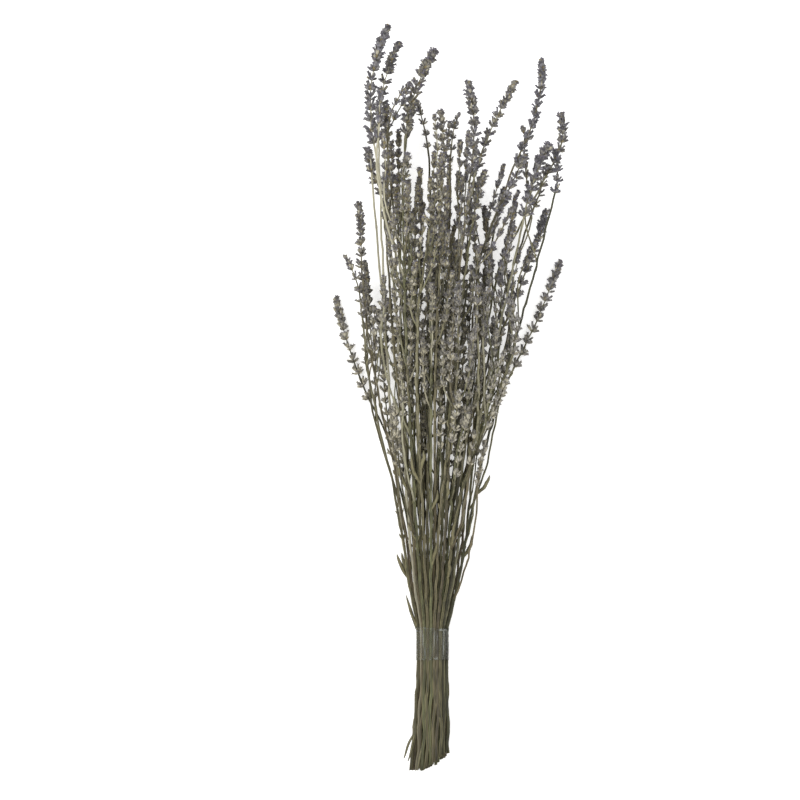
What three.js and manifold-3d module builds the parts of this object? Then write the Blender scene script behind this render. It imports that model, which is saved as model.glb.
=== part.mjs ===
// A bunch of dried lavender that lies on a table: 56 flower stems, held near their cut
// ends by a band of clear film. Millimetres, +Z up, +Y towards the flower tips, and +X to
// the right as the bunch is seen from above. The table is z = 0.

import * as THREE from "three";
import { mergeVertices } from "three/addons/utils/BufferGeometryUtils.js";
import Module from "manifold-3d";

const wasm = await Module();
wasm.setup();

// Driving dimensions
const BUNCH_HALF_LENGTH = 300;
const STEM_COUNT = 56;
const STALK_SIDE_CUT = 2.3; // width of the square stalk at its cut end
const STALK_SIDE_FOOT = 1.5; // the same where its flower spike begins
const SHOOT_SIDE = 1.1; // stalk of a side shoot

// The film band, and the stalks in it, which lie like bricks in a wall
const TIE_Y = -198; // middle of the band
const TIE_WIDTH = 26;
const TIE_WALL = 0.6;
const TIE_CLEARANCE = 0.3;
const TIE_STILL = 1; // the stalks run straight this far past the band on both sides
const BAND_DIRECTIONS = 8; // the film rounds each corner of a stalk in this many ways
const SLOT_PITCH_X = 2.6;
const SLOT_PITCH_Z = 2.5;
const LOWEST_ROW = 3; // rows below the middle one
const LAST_COLUMN = 6; // columns beside the middle one
const TIE_HALF_WIDTH = 12.5; // to the middle of the outermost stalks
const TIE_HALF_DEPTH = 9.1;
const TIE_CENTRE_X = -14.2;
const TIE_CENTRE_Z =
  LOWEST_ROW * SLOT_PITCH_Z + STALK_SIDE_CUT / 2 + TIE_CLEARANCE + TIE_WALL;

// The cut ends: they make a slanted line, and splay a little below the band
const CUT_SLANT = 0.62;
const CUT_RIGHT = { x: -1, y: -286 };
const CUT_SPLAY = 1.14;
const CUT_DRIFT = -1;
const CUT_LIFT = 1.6;
const CUT_UNEVEN = 2.5;
const CUT_SHIFT = 0.25;
const LOOSE_FROM = -0.6; // stems further left than this splay out
const LOOSE_SPLAY = 8;

// The fan: how its middle, half width and top move with the distance above the tie
const FAN_START_X = -16;
const FAN_LEAN = 0.046;
const FAN_SPREAD = 0.2035;
const FAN_WIDEST = 56;
const FAN_RISE = 0.225;
const FAN_HIGHEST = 88;
const FAN_LOWEST = 4.2;
const FAN_LIFT_LENGTH = 60; // above the tie the lowest stalks climb to that height
const PARTING_Y = -112; // up to here all stems part evenly, as the fan does
const PARTING_STEPS = 2; // straight pieces of a stalk from the tie to there
const FREE_STEPS = 4; // and from there to its spike
const LEAVING = 1.5; // slope right above the band against the mean up to the parting
const ARRIVING = 0.75;

// Flower spikes: whorls of calyces round the stalk, each narrow below and wide above
const WHORL_RADIUS = 4.3;
const WHORL_HEIGHT = 6.2;
const WHORL_SHARE = 0.74; // of the distance to the next whorl
const WHORL_PITCH = 8.2; // mean of the drawn spikes
const WHORL_UNEVEN = 0.12;
const TIP_TAPER = 0.42; // how much smaller the last whorl is than the first
const TAPER_POWER = 1.5;
const CROWDING = 0.3; // whorls stand this much wider at the foot than their mean
const WAIST_RADIUS = 1.0;
const SHOULDER = 0.88; // radius of the lower calyces of a whorl against the upper ones
const SHOULDER_HEIGHT = 0.45; // of the whorl's height
const CROWN_HEIGHT = 0.85;
const SLENDER_FROM = 0.5; // whorls past this share of an outline spike are one ring

// Spikes whose slot in the band says where in the fan they stand, up to some jitter
const DRAWN_FOOT_Y = [-50, 112];
const DRAWN_LENGTH = [60, 86];
const DRAWN_BOW = [-4, 4];
const SIZE_SPREAD = [0.92, 1.08];
const SLOT_FOLLOWED = 0.92; // of the slot's place across the band
const JITTER_ACROSS = 0.12;
const JITTER_UP = 0.16;
const TIP_DRIFT = 0.08;
const EDGE = 0.95; // drawn spikes stay within this share of the fan's half width
const LOOSENING = 0.02; // each further try may stand this much further from its place

// Side shoots, from a joint of the stalk below its spike
const SHOOT_COUNT = 80;
const SHOOT_SIZE = 0.9;
const SHOOT_BELOW_SPIKE = [24, 90];
const SHOOT_RISE = [14, 24]; // from the root to the foot of its spike
const SHOOT_SPIKE_LENGTH = [32, 54];
const SHOOT_REACH = [6, 11]; // of the foot from the stalk
const SHOOT_OPENING = [1.1, 1.6]; // reach of the tip against the foot's
const SHOOT_LOWEST = -90; // of the roots
const SHOOT_HIGHEST = 190; // of the tips
const SHOOT_WITHIN = 1.02; // of the fan's half width
const SHOOT_MARGIN = 6; // clear of the stalk from here on

// Narrow leaves
const LEAF_COUNT = 22;
const LEAF_ROOT_Y = [-160, -50];
const LEAF_LENGTH = [16, 26];
const LEAF_REACH = [5, 9]; // of the tip from the stalk
const LEAF_ARCH = 1.6; // slope at the root against the mean
const LEAF_MARGIN = 5;
const LEAF_WIDTH = 3;
const LEAF_THICKNESS = 1;

// Clearance between neighbours, tested at levels along Y
const STALK_GAP = 0.2;
const WHORL_GAP = 0.5;
const LEVEL_LOWEST = -176;
const LEVEL_STEP = 3;
const LEVEL_COUNT = 160;
const SMALL = 1e-9;
const PLAN_SEED = 35;
const RELIEF_SEED = 11;

// The stems that make the outline: tip and foot of the flower spike as [x, y, z], how far
// the middle of the spike bows towards +X, its whorls, and its thickness against the mean
const OUTLINE_STEMS = [
  { tip: [-50, 300, 64], foot: [-61, 205, 60], bow: -8, whorls: 13, size: 1.15 },
  { tip: [-41, 288, 46], foot: [-58, 208, 40], bow: -5, whorls: 10, size: 1.05 },
  { tip: [-12, 281, 62], foot: [-36, 213, 52], bow: -4.5, whorls: 10, size: 1.2 },
  { tip: [-31, 255, 80], foot: [-50, 218, 74], bow: -4, whorls: 5, size: 0.7 },
  { tip: [-27, 242, 38], foot: [-18, 203, 34], bow: 1, whorls: 5, size: 0.7 },
  { tip: [-8, 232, 70], foot: [-6, 190, 66], bow: 1, whorls: 6, size: 0.85 },
  { tip: [7, 231, 52], foot: [0, 190, 50], bow: -2, whorls: 5, size: 0.7 },
  { tip: [14, 255, 82], foot: [16, 180, 76], bow: 3.5, whorls: 9, size: 1.1 },
  { tip: [53, 256, 66], foot: [21, 186, 58], bow: -2.5, whorls: 10, size: 1 },
  { tip: [73, 274, 52], foot: [52, 190, 46], bow: 6.5, whorls: 11, size: 1 },
  { tip: [60, 197, 76], foot: [37, 150, 69], bow: 1, whorls: 6, size: 1 },
  { tip: [88, 231, 44], foot: [78, 182, 40], bow: 6.5, whorls: 7, size: 1 },
  { tip: [84, 201, 60], foot: [84, 166, 58], bow: 2, whorls: 5, size: 0.9 },
  { tip: [79, 205, 72], foot: [59, 147, 64], bow: -2, whorls: 7, size: 1.2 },
  { tip: [78, 190, 28], foot: [68, 156, 25], bow: 1, whorls: 5, size: 0.85 },
  { tip: [78, 154, 24], foot: [53, 83, 20], bow: 1.5, whorls: 9, size: 1 },
  { tip: [89.5, 113, 4], foot: [52, 26, 4.2], bow: 2, whorls: 11, size: 1 },
  { tip: [-73.5, 159, 44], foot: [-70, 86, 40], bow: 0, whorls: 9, size: 0.95 },
  { tip: [-70, 100, 17], foot: [-67, 28, 16], bow: 1, whorls: 9, size: 0.95 },
  { tip: [-85.5, 117, 52], foot: [-71, 68, 48], bow: 3.5, whorls: 6, size: 0.8 },
  { tip: [-93, 84, 3.6], foot: [-65, 0, 4.2], bow: -3, whorls: 10, size: 1 },
  { tip: [-55, 43, 15], foot: [-47, -44, 15], bow: -1, whorls: 10, size: 0.95 },
  { tip: [-6, 197, 88], foot: [-16, 140, 84], bow: 1, whorls: 7, size: 1.05 },
  { tip: [28, 184, 64], foot: [16, 132, 62], bow: -1, whorls: 6, size: 0.95 },
  { tip: [-34, 197, 84], foot: [-38, 150, 80], bow: -1, whorls: 6, size: 0.95 },
  { tip: [45, 82, 62], foot: [50, 36, 58], bow: 5, whorls: 6, size: 0.95 },
  { tip: [-52, 238, 27], foot: [-48, 176, 24], bow: -1, whorls: 8, size: 1.1 },
  { tip: [-67, 204, 16], foot: [-54, 166, 16], bow: -2, whorls: 5, size: 1.05 },
];

// Uniform draws from 0 to 1, the same on every run
function seededDraws(seed) {
  let state = seed;
  return () => {
    state = (state + 0x6d2b79f5) >>> 0;
    let mixed = Math.imul(state ^ (state >>> 15), 1 | state);
    mixed = (mixed + Math.imul(mixed ^ (mixed >>> 7), 61 | mixed)) ^ mixed;
    return ((mixed ^ (mixed >>> 14)) >>> 0) / 2 ** 32;
  };
}

const draw = seededDraws(PLAN_SEED);
const between = (low, high) => low + (high - low) * draw();
const within = (reach) => between(-reach, reach);

// Axes. An axis is a list of stretches; on each, x and z are cubics of y, given by their
// places and slopes at its two ends.

function stretch(from, to) {
  return { from, to };
}

function cubic(a, b, slopeA, slopeB, length, t) {
  const u = 1 - t;
  const place =
    a * u * u * (1 + 2 * t) +
    b * t * t * (3 - 2 * t) +
    slopeA * length * t * u * u -
    slopeB * length * t * t * u;
  const slope =
    (6 * t * u * (b - a)) / length +
    slopeA * u * (u - 2 * t) +
    slopeB * t * (t - 2 * u);
  return [place, slope];
}

function onAxis(axis, y) {
  const { from, to } = axis.find((s) => y <= s.to.y) ?? axis[axis.length - 1];
  const length = to.y - from.y;
  const t = (y - from.y) / length;
  const [x, slopeX] = cubic(from.x, to.x, from.slopeX, to.slopeX, length, t);
  const [z, slopeZ] = cubic(from.z, to.z, from.slopeZ, to.slopeZ, length, t);
  return { x, y, z, slopeX, slopeZ };
}

// Straight pieces whose ends lie on a stretch
function straightened(whole, steps) {
  const rise = (whole.to.y - whole.from.y) / steps;
  const places = Array.from({ length: steps + 1 }, (_, i) => whole.from.y + i * rise);
  const ends = places.map((y) => onAxis([whole], y));
  return ends.slice(1).map((to, i) => {
    const from = ends[i];
    const slopeX = (to.x - from.x) / rise;
    const slopeZ = (to.z - from.z) / rise;
    return stretch({ ...from, slopeX, slopeZ }, { ...to, slopeX, slopeZ });
  });
}

// A flower spike from foot to tip, bowed like a parabola
function spikeStretch(foot, tip, bow) {
  const length = tip[1] - foot[1];
  const chordX = (tip[0] - foot[0]) / length;
  const chordZ = (tip[2] - foot[2]) / length;
  const turn = (4 * bow) / length;
  return stretch(
    { x: foot[0], y: foot[1], z: foot[2], slopeX: chordX + turn, slopeZ: chordZ },
    { x: tip[0], y: tip[1], z: tip[2], slopeX: chordX - turn, slopeZ: chordZ },
  );
}

// The fan's middle, half width, lowest and highest axis at a distance along Y
function fanAt(y) {
  const above = Math.max(y - TIE_Y - TIE_WIDTH / 2, 0);
  const lifted = Math.min(above / FAN_LIFT_LENGTH, 1);
  const lowestHeld = TIE_CENTRE_Z - TIE_HALF_DEPTH;
  return {
    middle: FAN_START_X + FAN_LEAN * above,
    halfWidth: Math.min(TIE_HALF_WIDTH + FAN_SPREAD * above, FAN_WIDEST),
    lowest: lowestHeld + (FAN_LOWEST - lowestHeld) * lifted,
    highest: Math.min(TIE_CENTRE_Z + TIE_HALF_DEPTH + FAN_RISE * above, FAN_HIGHEST),
  };
}

// A place in the fan, from -1 to 1 across and up
function inFan(y, across, up) {
  const fan = fanAt(y);
  const rise = (up + 1) / 2;
  return {
    x: fan.middle + fan.halfWidth * across,
    y,
    z: fan.lowest + (fan.highest - fan.lowest) * rise,
  };
}

// Slots in the band, from the middle outwards: alternate rows are shifted by half a pitch
function tieSlots() {
  const slots = [];
  for (let row = -LOWEST_ROW; row <= LOWEST_ROW; row++) {
    const shift = row % 2 ? 0.5 : 0;
    for (let column = -LAST_COLUMN; column <= LAST_COLUMN; column++) {
      const x = (column + shift) * SLOT_PITCH_X;
      const z = row * SLOT_PITCH_Z;
      const across = x / TIE_HALF_WIDTH;
      const up = z / TIE_HALF_DEPTH;
      slots.push({ x, z, across, up, reach: across * across + up * up });
    }
  }
  slots.sort((a, b) => a.reach - b.reach);
  return slots.slice(0, STEM_COUNT);
}

// The axis of a stem from its cut end through its slot in the band to its flower spike
function stemAxis(slot, spike) {
  const held = { x: TIE_CENTRE_X + slot.x, z: TIE_CENTRE_Z + slot.z };
  const below = TIE_Y - TIE_WIDTH / 2 - TIE_STILL;
  const above = TIE_Y + TIE_WIDTH / 2 + TIE_STILL;
  const still = (y) => ({ x: held.x, y, z: held.z, slopeX: 0, slopeZ: 0 });
  const loose = LOOSE_SPLAY * Math.min(slot.across - LOOSE_FROM, 0);
  const cutX = TIE_CENTRE_X + CUT_DRIFT + CUT_SPLAY * slot.x + loose + within(CUT_SHIFT);
  const cutZ = TIE_CENTRE_Z + CUT_LIFT + CUT_SPLAY * slot.z + within(CUT_SHIFT);
  const onLine = CUT_RIGHT.y - CUT_SLANT * (CUT_RIGHT.x - cutX);
  const cutY = Math.max(onLine + within(CUT_UNEVEN), -BUNCH_HALF_LENGTH);
  const cut = {
    x: cutX,
    y: cutY,
    z: cutZ,
    slopeX: (held.x - cutX) / (below - cutY),
    slopeZ: (held.z - cutZ) / (below - cutY),
  };
  const parting = inFan(PARTING_Y, slot.across, slot.up);
  const meanX = (parting.x - held.x) / (PARTING_Y - above);
  const meanZ = (parting.z - held.z) / (PARTING_Y - above);
  const sloped = (place, share) => ({ ...place, slopeX: share * meanX, slopeZ: share * meanZ });
  const leaving = sloped(still(above), LEAVING);
  const arriving = sloped(parting, ARRIVING);
  return [
    stretch(cut, still(below)),
    stretch(still(below), still(above)),
    ...straightened(stretch(leaving, arriving), PARTING_STEPS),
    ...straightened(stretch(arriving, spike.from), FREE_STEPS),
    spike,
  ];
}

// Width of the square stalk at a distance along Y
function stalkSide(stem, y) {
  const root = stem.axis[0].from.y;
  const share = (y - root) / (stem.spike.from.y - root);
  return stem.rootSide + (stem.footSide - stem.rootSide) * share;
}

function whorlRadius(stem, share) {
  return WHORL_RADIUS * stem.size * (1 - TIP_TAPER * share ** TAPER_POWER);
}

// Where a stem, shoot or leaf is at each level, and its half width there
function levelsOf(piece, halfWidth) {
  const lowest = piece.axis[0].from.y + (piece.margin ?? 0);
  const highest = piece.axis[piece.axis.length - 1].to.y;
  return Array.from({ length: LEVEL_COUNT }, (_, i) => {
    const y = LEVEL_LOWEST + i * LEVEL_STEP;
    if (y < lowest || y > highest) return null;
    const { x, z, slopeX, slopeZ } = onAxis(piece.axis, y);
    const isStalk = piece.spike !== undefined && y < piece.spike.from.y;
    return { x, z, isStalk, half: halfWidth(y) * Math.hypot(1, slopeX, slopeZ) };
  });
}

function flowerLevels(stem) {
  const { from, to } = stem.spike;
  return levelsOf(stem, (y) =>
    y < from.y
      ? stalkSide(stem, y) / 2
      : whorlRadius(stem, (y - from.y) / (to.y - from.y)),
  );
}

// Square stalks all lie the same way round, so between two of them the wider way counts
function isClear(levels, others) {
  return others.every((other) =>
    levels.every((here, i) => {
      const there = other[i];
      if (!here || !there) return true;
      const halves = here.half + there.half;
      const dx = Math.abs(here.x - there.x);
      const dz = Math.abs(here.z - there.z);
      return here.isStalk && there.isStalk
        ? Math.max(dx, dz) > halves + STALK_GAP
        : Math.hypot(dx, dz) > halves + WHORL_GAP;
    }),
  );
}

// Gives each outline stem a slot: two slots are swapped as long as that brings the stems
// nearer to their places in the fan
function settle(slots) {
  const targets = OUTLINE_STEMS.map(({ foot: [x, y, z] }) => {
    const fan = fanAt(y);
    return {
      across: (x - fan.middle) / fan.halfWidth,
      up: (2 * (z - fan.lowest)) / (fan.highest - fan.lowest) - 1,
    };
  });
  const miss = (target, slot) =>
    target ? (target.across - slot.across) ** 2 + (target.up - slot.up) ** 2 : 0;
  let swapped = true;
  while (swapped) {
    swapped = false;
    for (let i = 0; i < targets.length; i++) {
      for (let j = i + 1; j < slots.length; j++) {
        const now = miss(targets[i], slots[i]) + miss(targets[j], slots[j]);
        const then = miss(targets[i], slots[j]) + miss(targets[j], slots[i]);
        if (then < now - SMALL) {
          [slots[i], slots[j]] = [slots[j], slots[i]];
          swapped = true;
        }
      }
    }
  }
  return slots;
}

const clamp = THREE.MathUtils.clamp;
const list = ({ x, y, z }) => [x, y, z];

// A stem that is held by the band
function heldStem(slot, { spike, whorls, size }) {
  const axis = stemAxis(slot, spike);
  const stem = { axis, spike, whorls, size, rootSide: STALK_SIDE_CUT, footSide: STALK_SIDE_FOOT };
  stem.levels = flowerLevels(stem);
  return stem;
}

// A spike whose slot says where in the fan it stands
function drawnSpike(slot, tries) {
  const footY = between(...DRAWN_FOOT_Y);
  const length = between(...DRAWN_LENGTH);
  const loose = 1 + tries * LOOSENING;
  const about = (place, jitter, edge) => clamp(place + within(jitter), -edge, edge);
  const across = about(SLOT_FOLLOWED * slot.across, loose * JITTER_ACROSS, EDGE);
  const up = about(slot.up, loose * JITTER_UP, 1);
  const tipAcross = about(across, TIP_DRIFT, EDGE);
  const tipUp = about(up, TIP_DRIFT, 1);
  const foot = list(inFan(footY, across, up));
  const tip = list(inFan(footY + length, tipAcross, tipUp));
  return {
    spike: spikeStretch(foot, tip, between(...DRAWN_BOW)),
    whorls: Math.round(length / WHORL_PITCH),
    size: between(...SIZE_SPREAD),
  };
}

// A side shoot: it leaves the stalk, then runs up beside it
function drawnShoot(stem) {
  const rootY = Math.max(stem.spike.from.y - between(...SHOOT_BELOW_SPIKE), SHOOT_LOWEST);
  const root = onAxis(stem.axis, rootY);
  const rise = between(...SHOOT_RISE);
  const length = between(...SHOOT_SPIKE_LENGTH);
  const angle = between(0, 2 * Math.PI);
  const reach = between(...SHOOT_REACH);
  const aside = { x: Math.cos(angle), z: Math.sin(angle) };
  const beside = (y, distance) => {
    const { x, z } = onAxis(stem.axis, y);
    return [x + distance * aside.x, y, Math.max(z + distance * aside.z, FAN_LOWEST)];
  };
  const foot = beside(rootY + rise, reach);
  const tip = beside(rootY + rise + length, reach * between(...SHOOT_OPENING));
  const fan = fanAt(tip[1]);
  const isOutside = Math.abs(tip[0] - fan.middle) > SHOOT_WITHIN * fan.halfWidth;
  if (isOutside || tip[1] > SHOOT_HIGHEST) return null;
  const spike = spikeStretch(foot, tip, 0);
  const start = {
    ...root,
    slopeX: root.slopeX + (reach / rise) * aside.x,
    slopeZ: root.slopeZ + (reach / rise) * aside.z,
  };
  const shoot = {
    axis: [stretch(start, spike.from), spike],
    spike,
    whorls: Math.round(length / WHORL_PITCH),
    size: SHOOT_SIZE * between(...SIZE_SPREAD),
    rootSide: SHOOT_SIDE,
    footSide: SHOOT_SIDE,
    margin: SHOOT_MARGIN,
  };
  shoot.levels = flowerLevels(shoot);
  return shoot;
}

// A narrow leaf that stands off the stalk
function drawnLeaf(stem) {
  const rootY = between(...LEAF_ROOT_Y);
  const root = onAxis(stem.axis, rootY);
  const length = between(...LEAF_LENGTH);
  const angle = between(0, 2 * Math.PI);
  const reach = between(...LEAF_REACH);
  const end = onAxis(stem.axis, rootY + length);
  const tip = {
    ...end,
    x: end.x + reach * Math.cos(angle),
    z: Math.max(end.z + reach * Math.sin(angle), FAN_LOWEST),
  };
  const start = {
    ...root,
    slopeX: (LEAF_ARCH * (tip.x - root.x)) / length,
    slopeZ: (LEAF_ARCH * (tip.z - root.z)) / length,
  };
  const leaf = { axis: [stretch(start, tip)], margin: LEAF_MARGIN };
  leaf.levels = levelsOf(leaf, () => LEAF_WIDTH / 2);
  return leaf;
}

// Draws a piece again until it is clear of all that is placed already
function drawnClear(drawPiece, placed) {
  let tries = 0;
  let piece;
  do piece = drawPiece(tries++);
  while (!piece || !isClear(piece.levels, placed));
  placed.push(piece.levels);
  return piece;
}

// Every stem with its shoots and leaves, each clear of all the others
function plan() {
  const slots = settle(tieSlots());
  const placed = [];
  const stems = slots.map((slot, i) => {
    const outline = OUTLINE_STEMS[i];
    if (!outline) {
      return drawnClear((tries) => heldStem(slot, drawnSpike(slot, tries)), placed);
    }
    const spike = spikeStretch(outline.foot, outline.tip, outline.bow);
    const stem = heldStem(slot, { ...outline, spike });
    stem.isOutline = true;
    placed.push(stem.levels);
    return stem;
  });
  for (const stem of stems) Object.assign(stem, { shoots: [], leaves: [] });
  const anyStem = () => stems[Math.floor(between(0, stems.length))];
  for (let i = 0; i < SHOOT_COUNT; i++) {
    let stem;
    const shoot = drawnClear(() => drawnShoot((stem = anyStem())), placed);
    stem.shoots.push(shoot);
  }
  for (let i = 0; i < LEAF_COUNT; i++) {
    let stem;
    const leaf = drawnClear(() => drawnLeaf((stem = anyStem())), placed);
    stem.leaves.push(leaf);
  }
  return stems;
}

// Solids. A skin is a stack of rings of corners round an axis.
const relief = seededDraws(RELIEF_SEED);
const uneven = () => 1 + WHORL_UNEVEN * (2 * relief() - 1);

// The corners of a ring round an axis, counted clockwise as seen from its root
function ring(axis, y, radius, sides, turn, thickness = 1) {
  const { x, z, slopeX, slopeZ } = onAxis(axis, y);
  const ahead = new THREE.Vector3(slopeX, 1, slopeZ).normalize();
  const right = new THREE.Vector3().crossVectors(ahead, new THREE.Vector3(0, 0, 1)).normalize();
  const up = new THREE.Vector3().crossVectors(right, ahead);
  return Array.from({ length: sides }, (_, i) => {
    const angle = turn + (2 * Math.PI * i) / sides;
    const place = new THREE.Vector3(x, y, z)
      .addScaledVector(up, radius * thickness * Math.cos(angle))
      .addScaledVector(right, radius * Math.sin(angle));
    place.z = Math.max(place.z, 0);
    return { angle, place };
  });
}

// Triangles between two rings, always towards the nearer next corner
function stitched(lower, upper) {
  const faces = [];
  const turn = 2 * Math.PI;
  const step = turn / upper.length;
  const shift = Math.round((lower[0].angle - upper[0].angle) / step);
  const above = (j) => {
    const k = j + shift;
    const wrapped = ((k % upper.length) + upper.length) % upper.length;
    return { place: upper[wrapped].place, angle: upper[0].angle + k * step };
  };
  const below = (i) => ({
    place: lower[i % lower.length].place,
    angle: lower[0].angle + (i * turn) / lower.length,
  });
  let i = 0;
  let j = 0;
  while (i < lower.length || j < upper.length) {
    const isBelowNearer = i < lower.length && below(i + 1).angle <= above(j + 1).angle;
    if (j === upper.length || isBelowNearer) {
      faces.push(below(i).place, below(i + 1).place, above(j).place);
      i++;
    } else {
      faces.push(below(i).place, above(j + 1).place, above(j).place);
      j++;
    }
  }
  return faces;
}

// A closed skin over rings: flat at the root, pointed at the tip
function skin(rings, apex) {
  const faces = [];
  const root = rings[0].map(({ place }) => place);
  for (let i = 2; i < root.length; i++) faces.push(root[0], root[i], root[i - 1]);
  for (let i = 1; i < rings.length; i++) faces.push(...stitched(rings[i - 1], rings[i]));
  const last = rings[rings.length - 1].map(({ place }) => place);
  last.forEach((place, i) => faces.push(place, last[(i + 1) % last.length], apex));
  return new THREE.BufferGeometry().setFromPoints(faces);
}

const EIGHTH = Math.PI / 4;
const SIXTH = Math.PI / 3;

// The corners of a square or three-sided stalk at some places along it
function stalkRings(stem, places, sides, turn) {
  return places.map((y) => ring(stem.axis, y, stalkSide(stem, y) * Math.SQRT1_2, sides, turn));
}

// The rings of a spike's whorls; each ring is turned a sixth from the one below, so that
// two rings make six lobes
function whorlRings(stem) {
  const { from, to } = stem.spike;
  const length = to.y - from.y;
  const shareOf = (k) => (k / stem.whorls) * (1 + CROWDING * (1 - k / stem.whorls));
  const rings = [];
  let turn = between(0, SIXTH);
  const add = (y, radius) => {
    rings.push(ring(stem.axis, y, radius, 3, turn));
    turn += SIXTH;
  };
  for (let k = 0; k < stem.whorls; k++) {
    const base = from.y + length * shareOf(k);
    const next = from.y + length * shareOf(k + 1);
    const height = Math.min(WHORL_HEIGHT * stem.size, WHORL_SHARE * (next - base));
    const radius = whorlRadius(stem, shareOf(k)) * uneven();
    if (k > 0) add(base, WAIST_RADIUS);
    const isFull = stem.isOutline && k / stem.whorls < SLENDER_FROM;
    if (isFull) add(base + SHOULDER_HEIGHT * height, SHOULDER * radius);
    add(base + CROWN_HEIGHT * height, radius);
  }
  return rings;
}

function apexOf(stem) {
  const { x, y, z } = stem.spike.to;
  return new THREE.Vector3(x, y, z);
}

function heldSolid(stem) {
  const places = stem.axis.map(({ from }) => from.y);
  return skin([...stalkRings(stem, places, 4, EIGHTH), ...whorlRings(stem)], apexOf(stem));
}

function shootSolid(shoot) {
  const [stalk, spike] = shoot.axis;
  const middle = (stalk.from.y + stalk.to.y) / 2;
  const places = [stalk.from.y, middle, spike.from.y];
  return skin([...stalkRings(shoot, places, 3, 0), ...whorlRings(shoot)], apexOf(shoot));
}

function leafSolid(leaf) {
  const { from, to } = leaf.axis[0];
  const at = (share) => from.y + (to.y - from.y) * share;
  const thin = LEAF_THICKNESS / LEAF_WIDTH;
  const rings = [
    ring(leaf.axis, at(0), LEAF_THICKNESS / 2, 4, 0),
    ring(leaf.axis, at(0.5), LEAF_WIDTH / 2, 4, 0, thin),
  ];
  return skin(rings, new THREE.Vector3(to.x, to.y, to.z));
}

function solid(geometry) {
  const merged = mergeVertices(geometry, 1e-3);
  return new wasm.Manifold(
    new wasm.Mesh({
      numProp: 3,
      vertProperties: merged.attributes.position.array,
      triVerts: new Uint32Array(merged.index.array),
    }),
  );
}

function geometryOf(made) {
  const mesh = made.getMesh();
  return new THREE.BufferGeometry()
    .setAttribute("position", new THREE.BufferAttribute(mesh.vertProperties, 3))
    .setIndex(new THREE.BufferAttribute(mesh.triVerts, 1))
    .toNonIndexed();
}

function leafyStem(stem) {
  const parts = [heldSolid(stem), ...stem.shoots.map(shootSolid), ...stem.leaves.map(leafSolid)];
  const joined = parts.map(solid).reduce((whole, part) => whole.add(part));
  const geometry = geometryOf(joined);
  geometry.computeVertexNormals();
  return geometry;
}

// The film band: the outline of the held stalks, with a clearance and a wall
const CORNERS = [[-1, -1], [1, -1], [1, 1], [-1, 1]];

function convexOutline(points) {
  const sorted = [...points].sort((a, b) => a.x - b.x || a.y - b.y);
  const turns = (o, a, b) => (a.x - o.x) * (b.y - o.y) - (a.y - o.y) * (b.x - o.x);
  const half = (ordered) => {
    const chain = [];
    for (const point of ordered) {
      while (chain.length > 1 && turns(...chain.slice(-2), point) <= SMALL) chain.pop();
      chain.push(point);
    }
    return chain.slice(0, -1);
  };
  return [...half(sorted), ...half(sorted.reverse())];
}

function bandOutline(stems, offset) {
  const points = [];
  for (const stem of stems) {
    const held = onAxis(stem.axis, TIE_Y);
    const half = STALK_SIDE_CUT / 2;
    for (const [across, up] of CORNERS) {
      for (let k = 0; k < BAND_DIRECTIONS; k++) {
        const angle = (2 * Math.PI * k) / BAND_DIRECTIONS;
        const x = held.x + across * half + offset * Math.cos(angle);
        const y = held.z + up * half + offset * Math.sin(angle);
        points.push(new THREE.Vector2(x, y));
      }
    }
  }
  return convexOutline(points);
}

function tieBand(stems) {
  const shape = new THREE.Shape(bandOutline(stems, TIE_CLEARANCE + TIE_WALL));
  shape.holes.push(new THREE.Path(bandOutline(stems, TIE_CLEARANCE)));
  const geometry = new THREE.ExtrudeGeometry(shape, { depth: TIE_WIDTH, bevelEnabled: false });
  geometry.rotateX(Math.PI / 2);
  geometry.translate(0, TIE_Y + TIE_WIDTH / 2, 0);
  return geometry;
}

// Finishes
const STEM_FINISHES = [
  new THREE.MeshStandardMaterial({ color: 0x5f5c5c, roughness: 0.92, metalness: 0 }),
  new THREE.MeshStandardMaterial({ color: 0x65625a, roughness: 0.92, metalness: 0 }),
  new THREE.MeshStandardMaterial({ color: 0x59584b, roughness: 0.92, metalness: 0 }),
];
const FILM = new THREE.MeshStandardMaterial({
  color: 0xb9bcb8,
  roughness: 0.18,
  metalness: 0,
  transparent: true,
  opacity: 0.35,
});

const group = new THREE.Group();
const stems = plan();
stems.forEach((stem, i) => {
  const mesh = new THREE.Mesh(leafyStem(stem), STEM_FINISHES[i % STEM_FINISHES.length]);
  mesh.name = `stem_${String(i + 1).padStart(2, "0")}`;
  group.add(mesh);
});
const band = new THREE.Mesh(tieBand(stems), FILM);
band.name = "tie_band";
group.add(band);

export default group;
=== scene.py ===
# A bunch of dried lavender on a pale table, seen from straight above. The bunch's own sizes
# are in millimetres, as it grew; meshes are turned to metres where they are made.

import math

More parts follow.
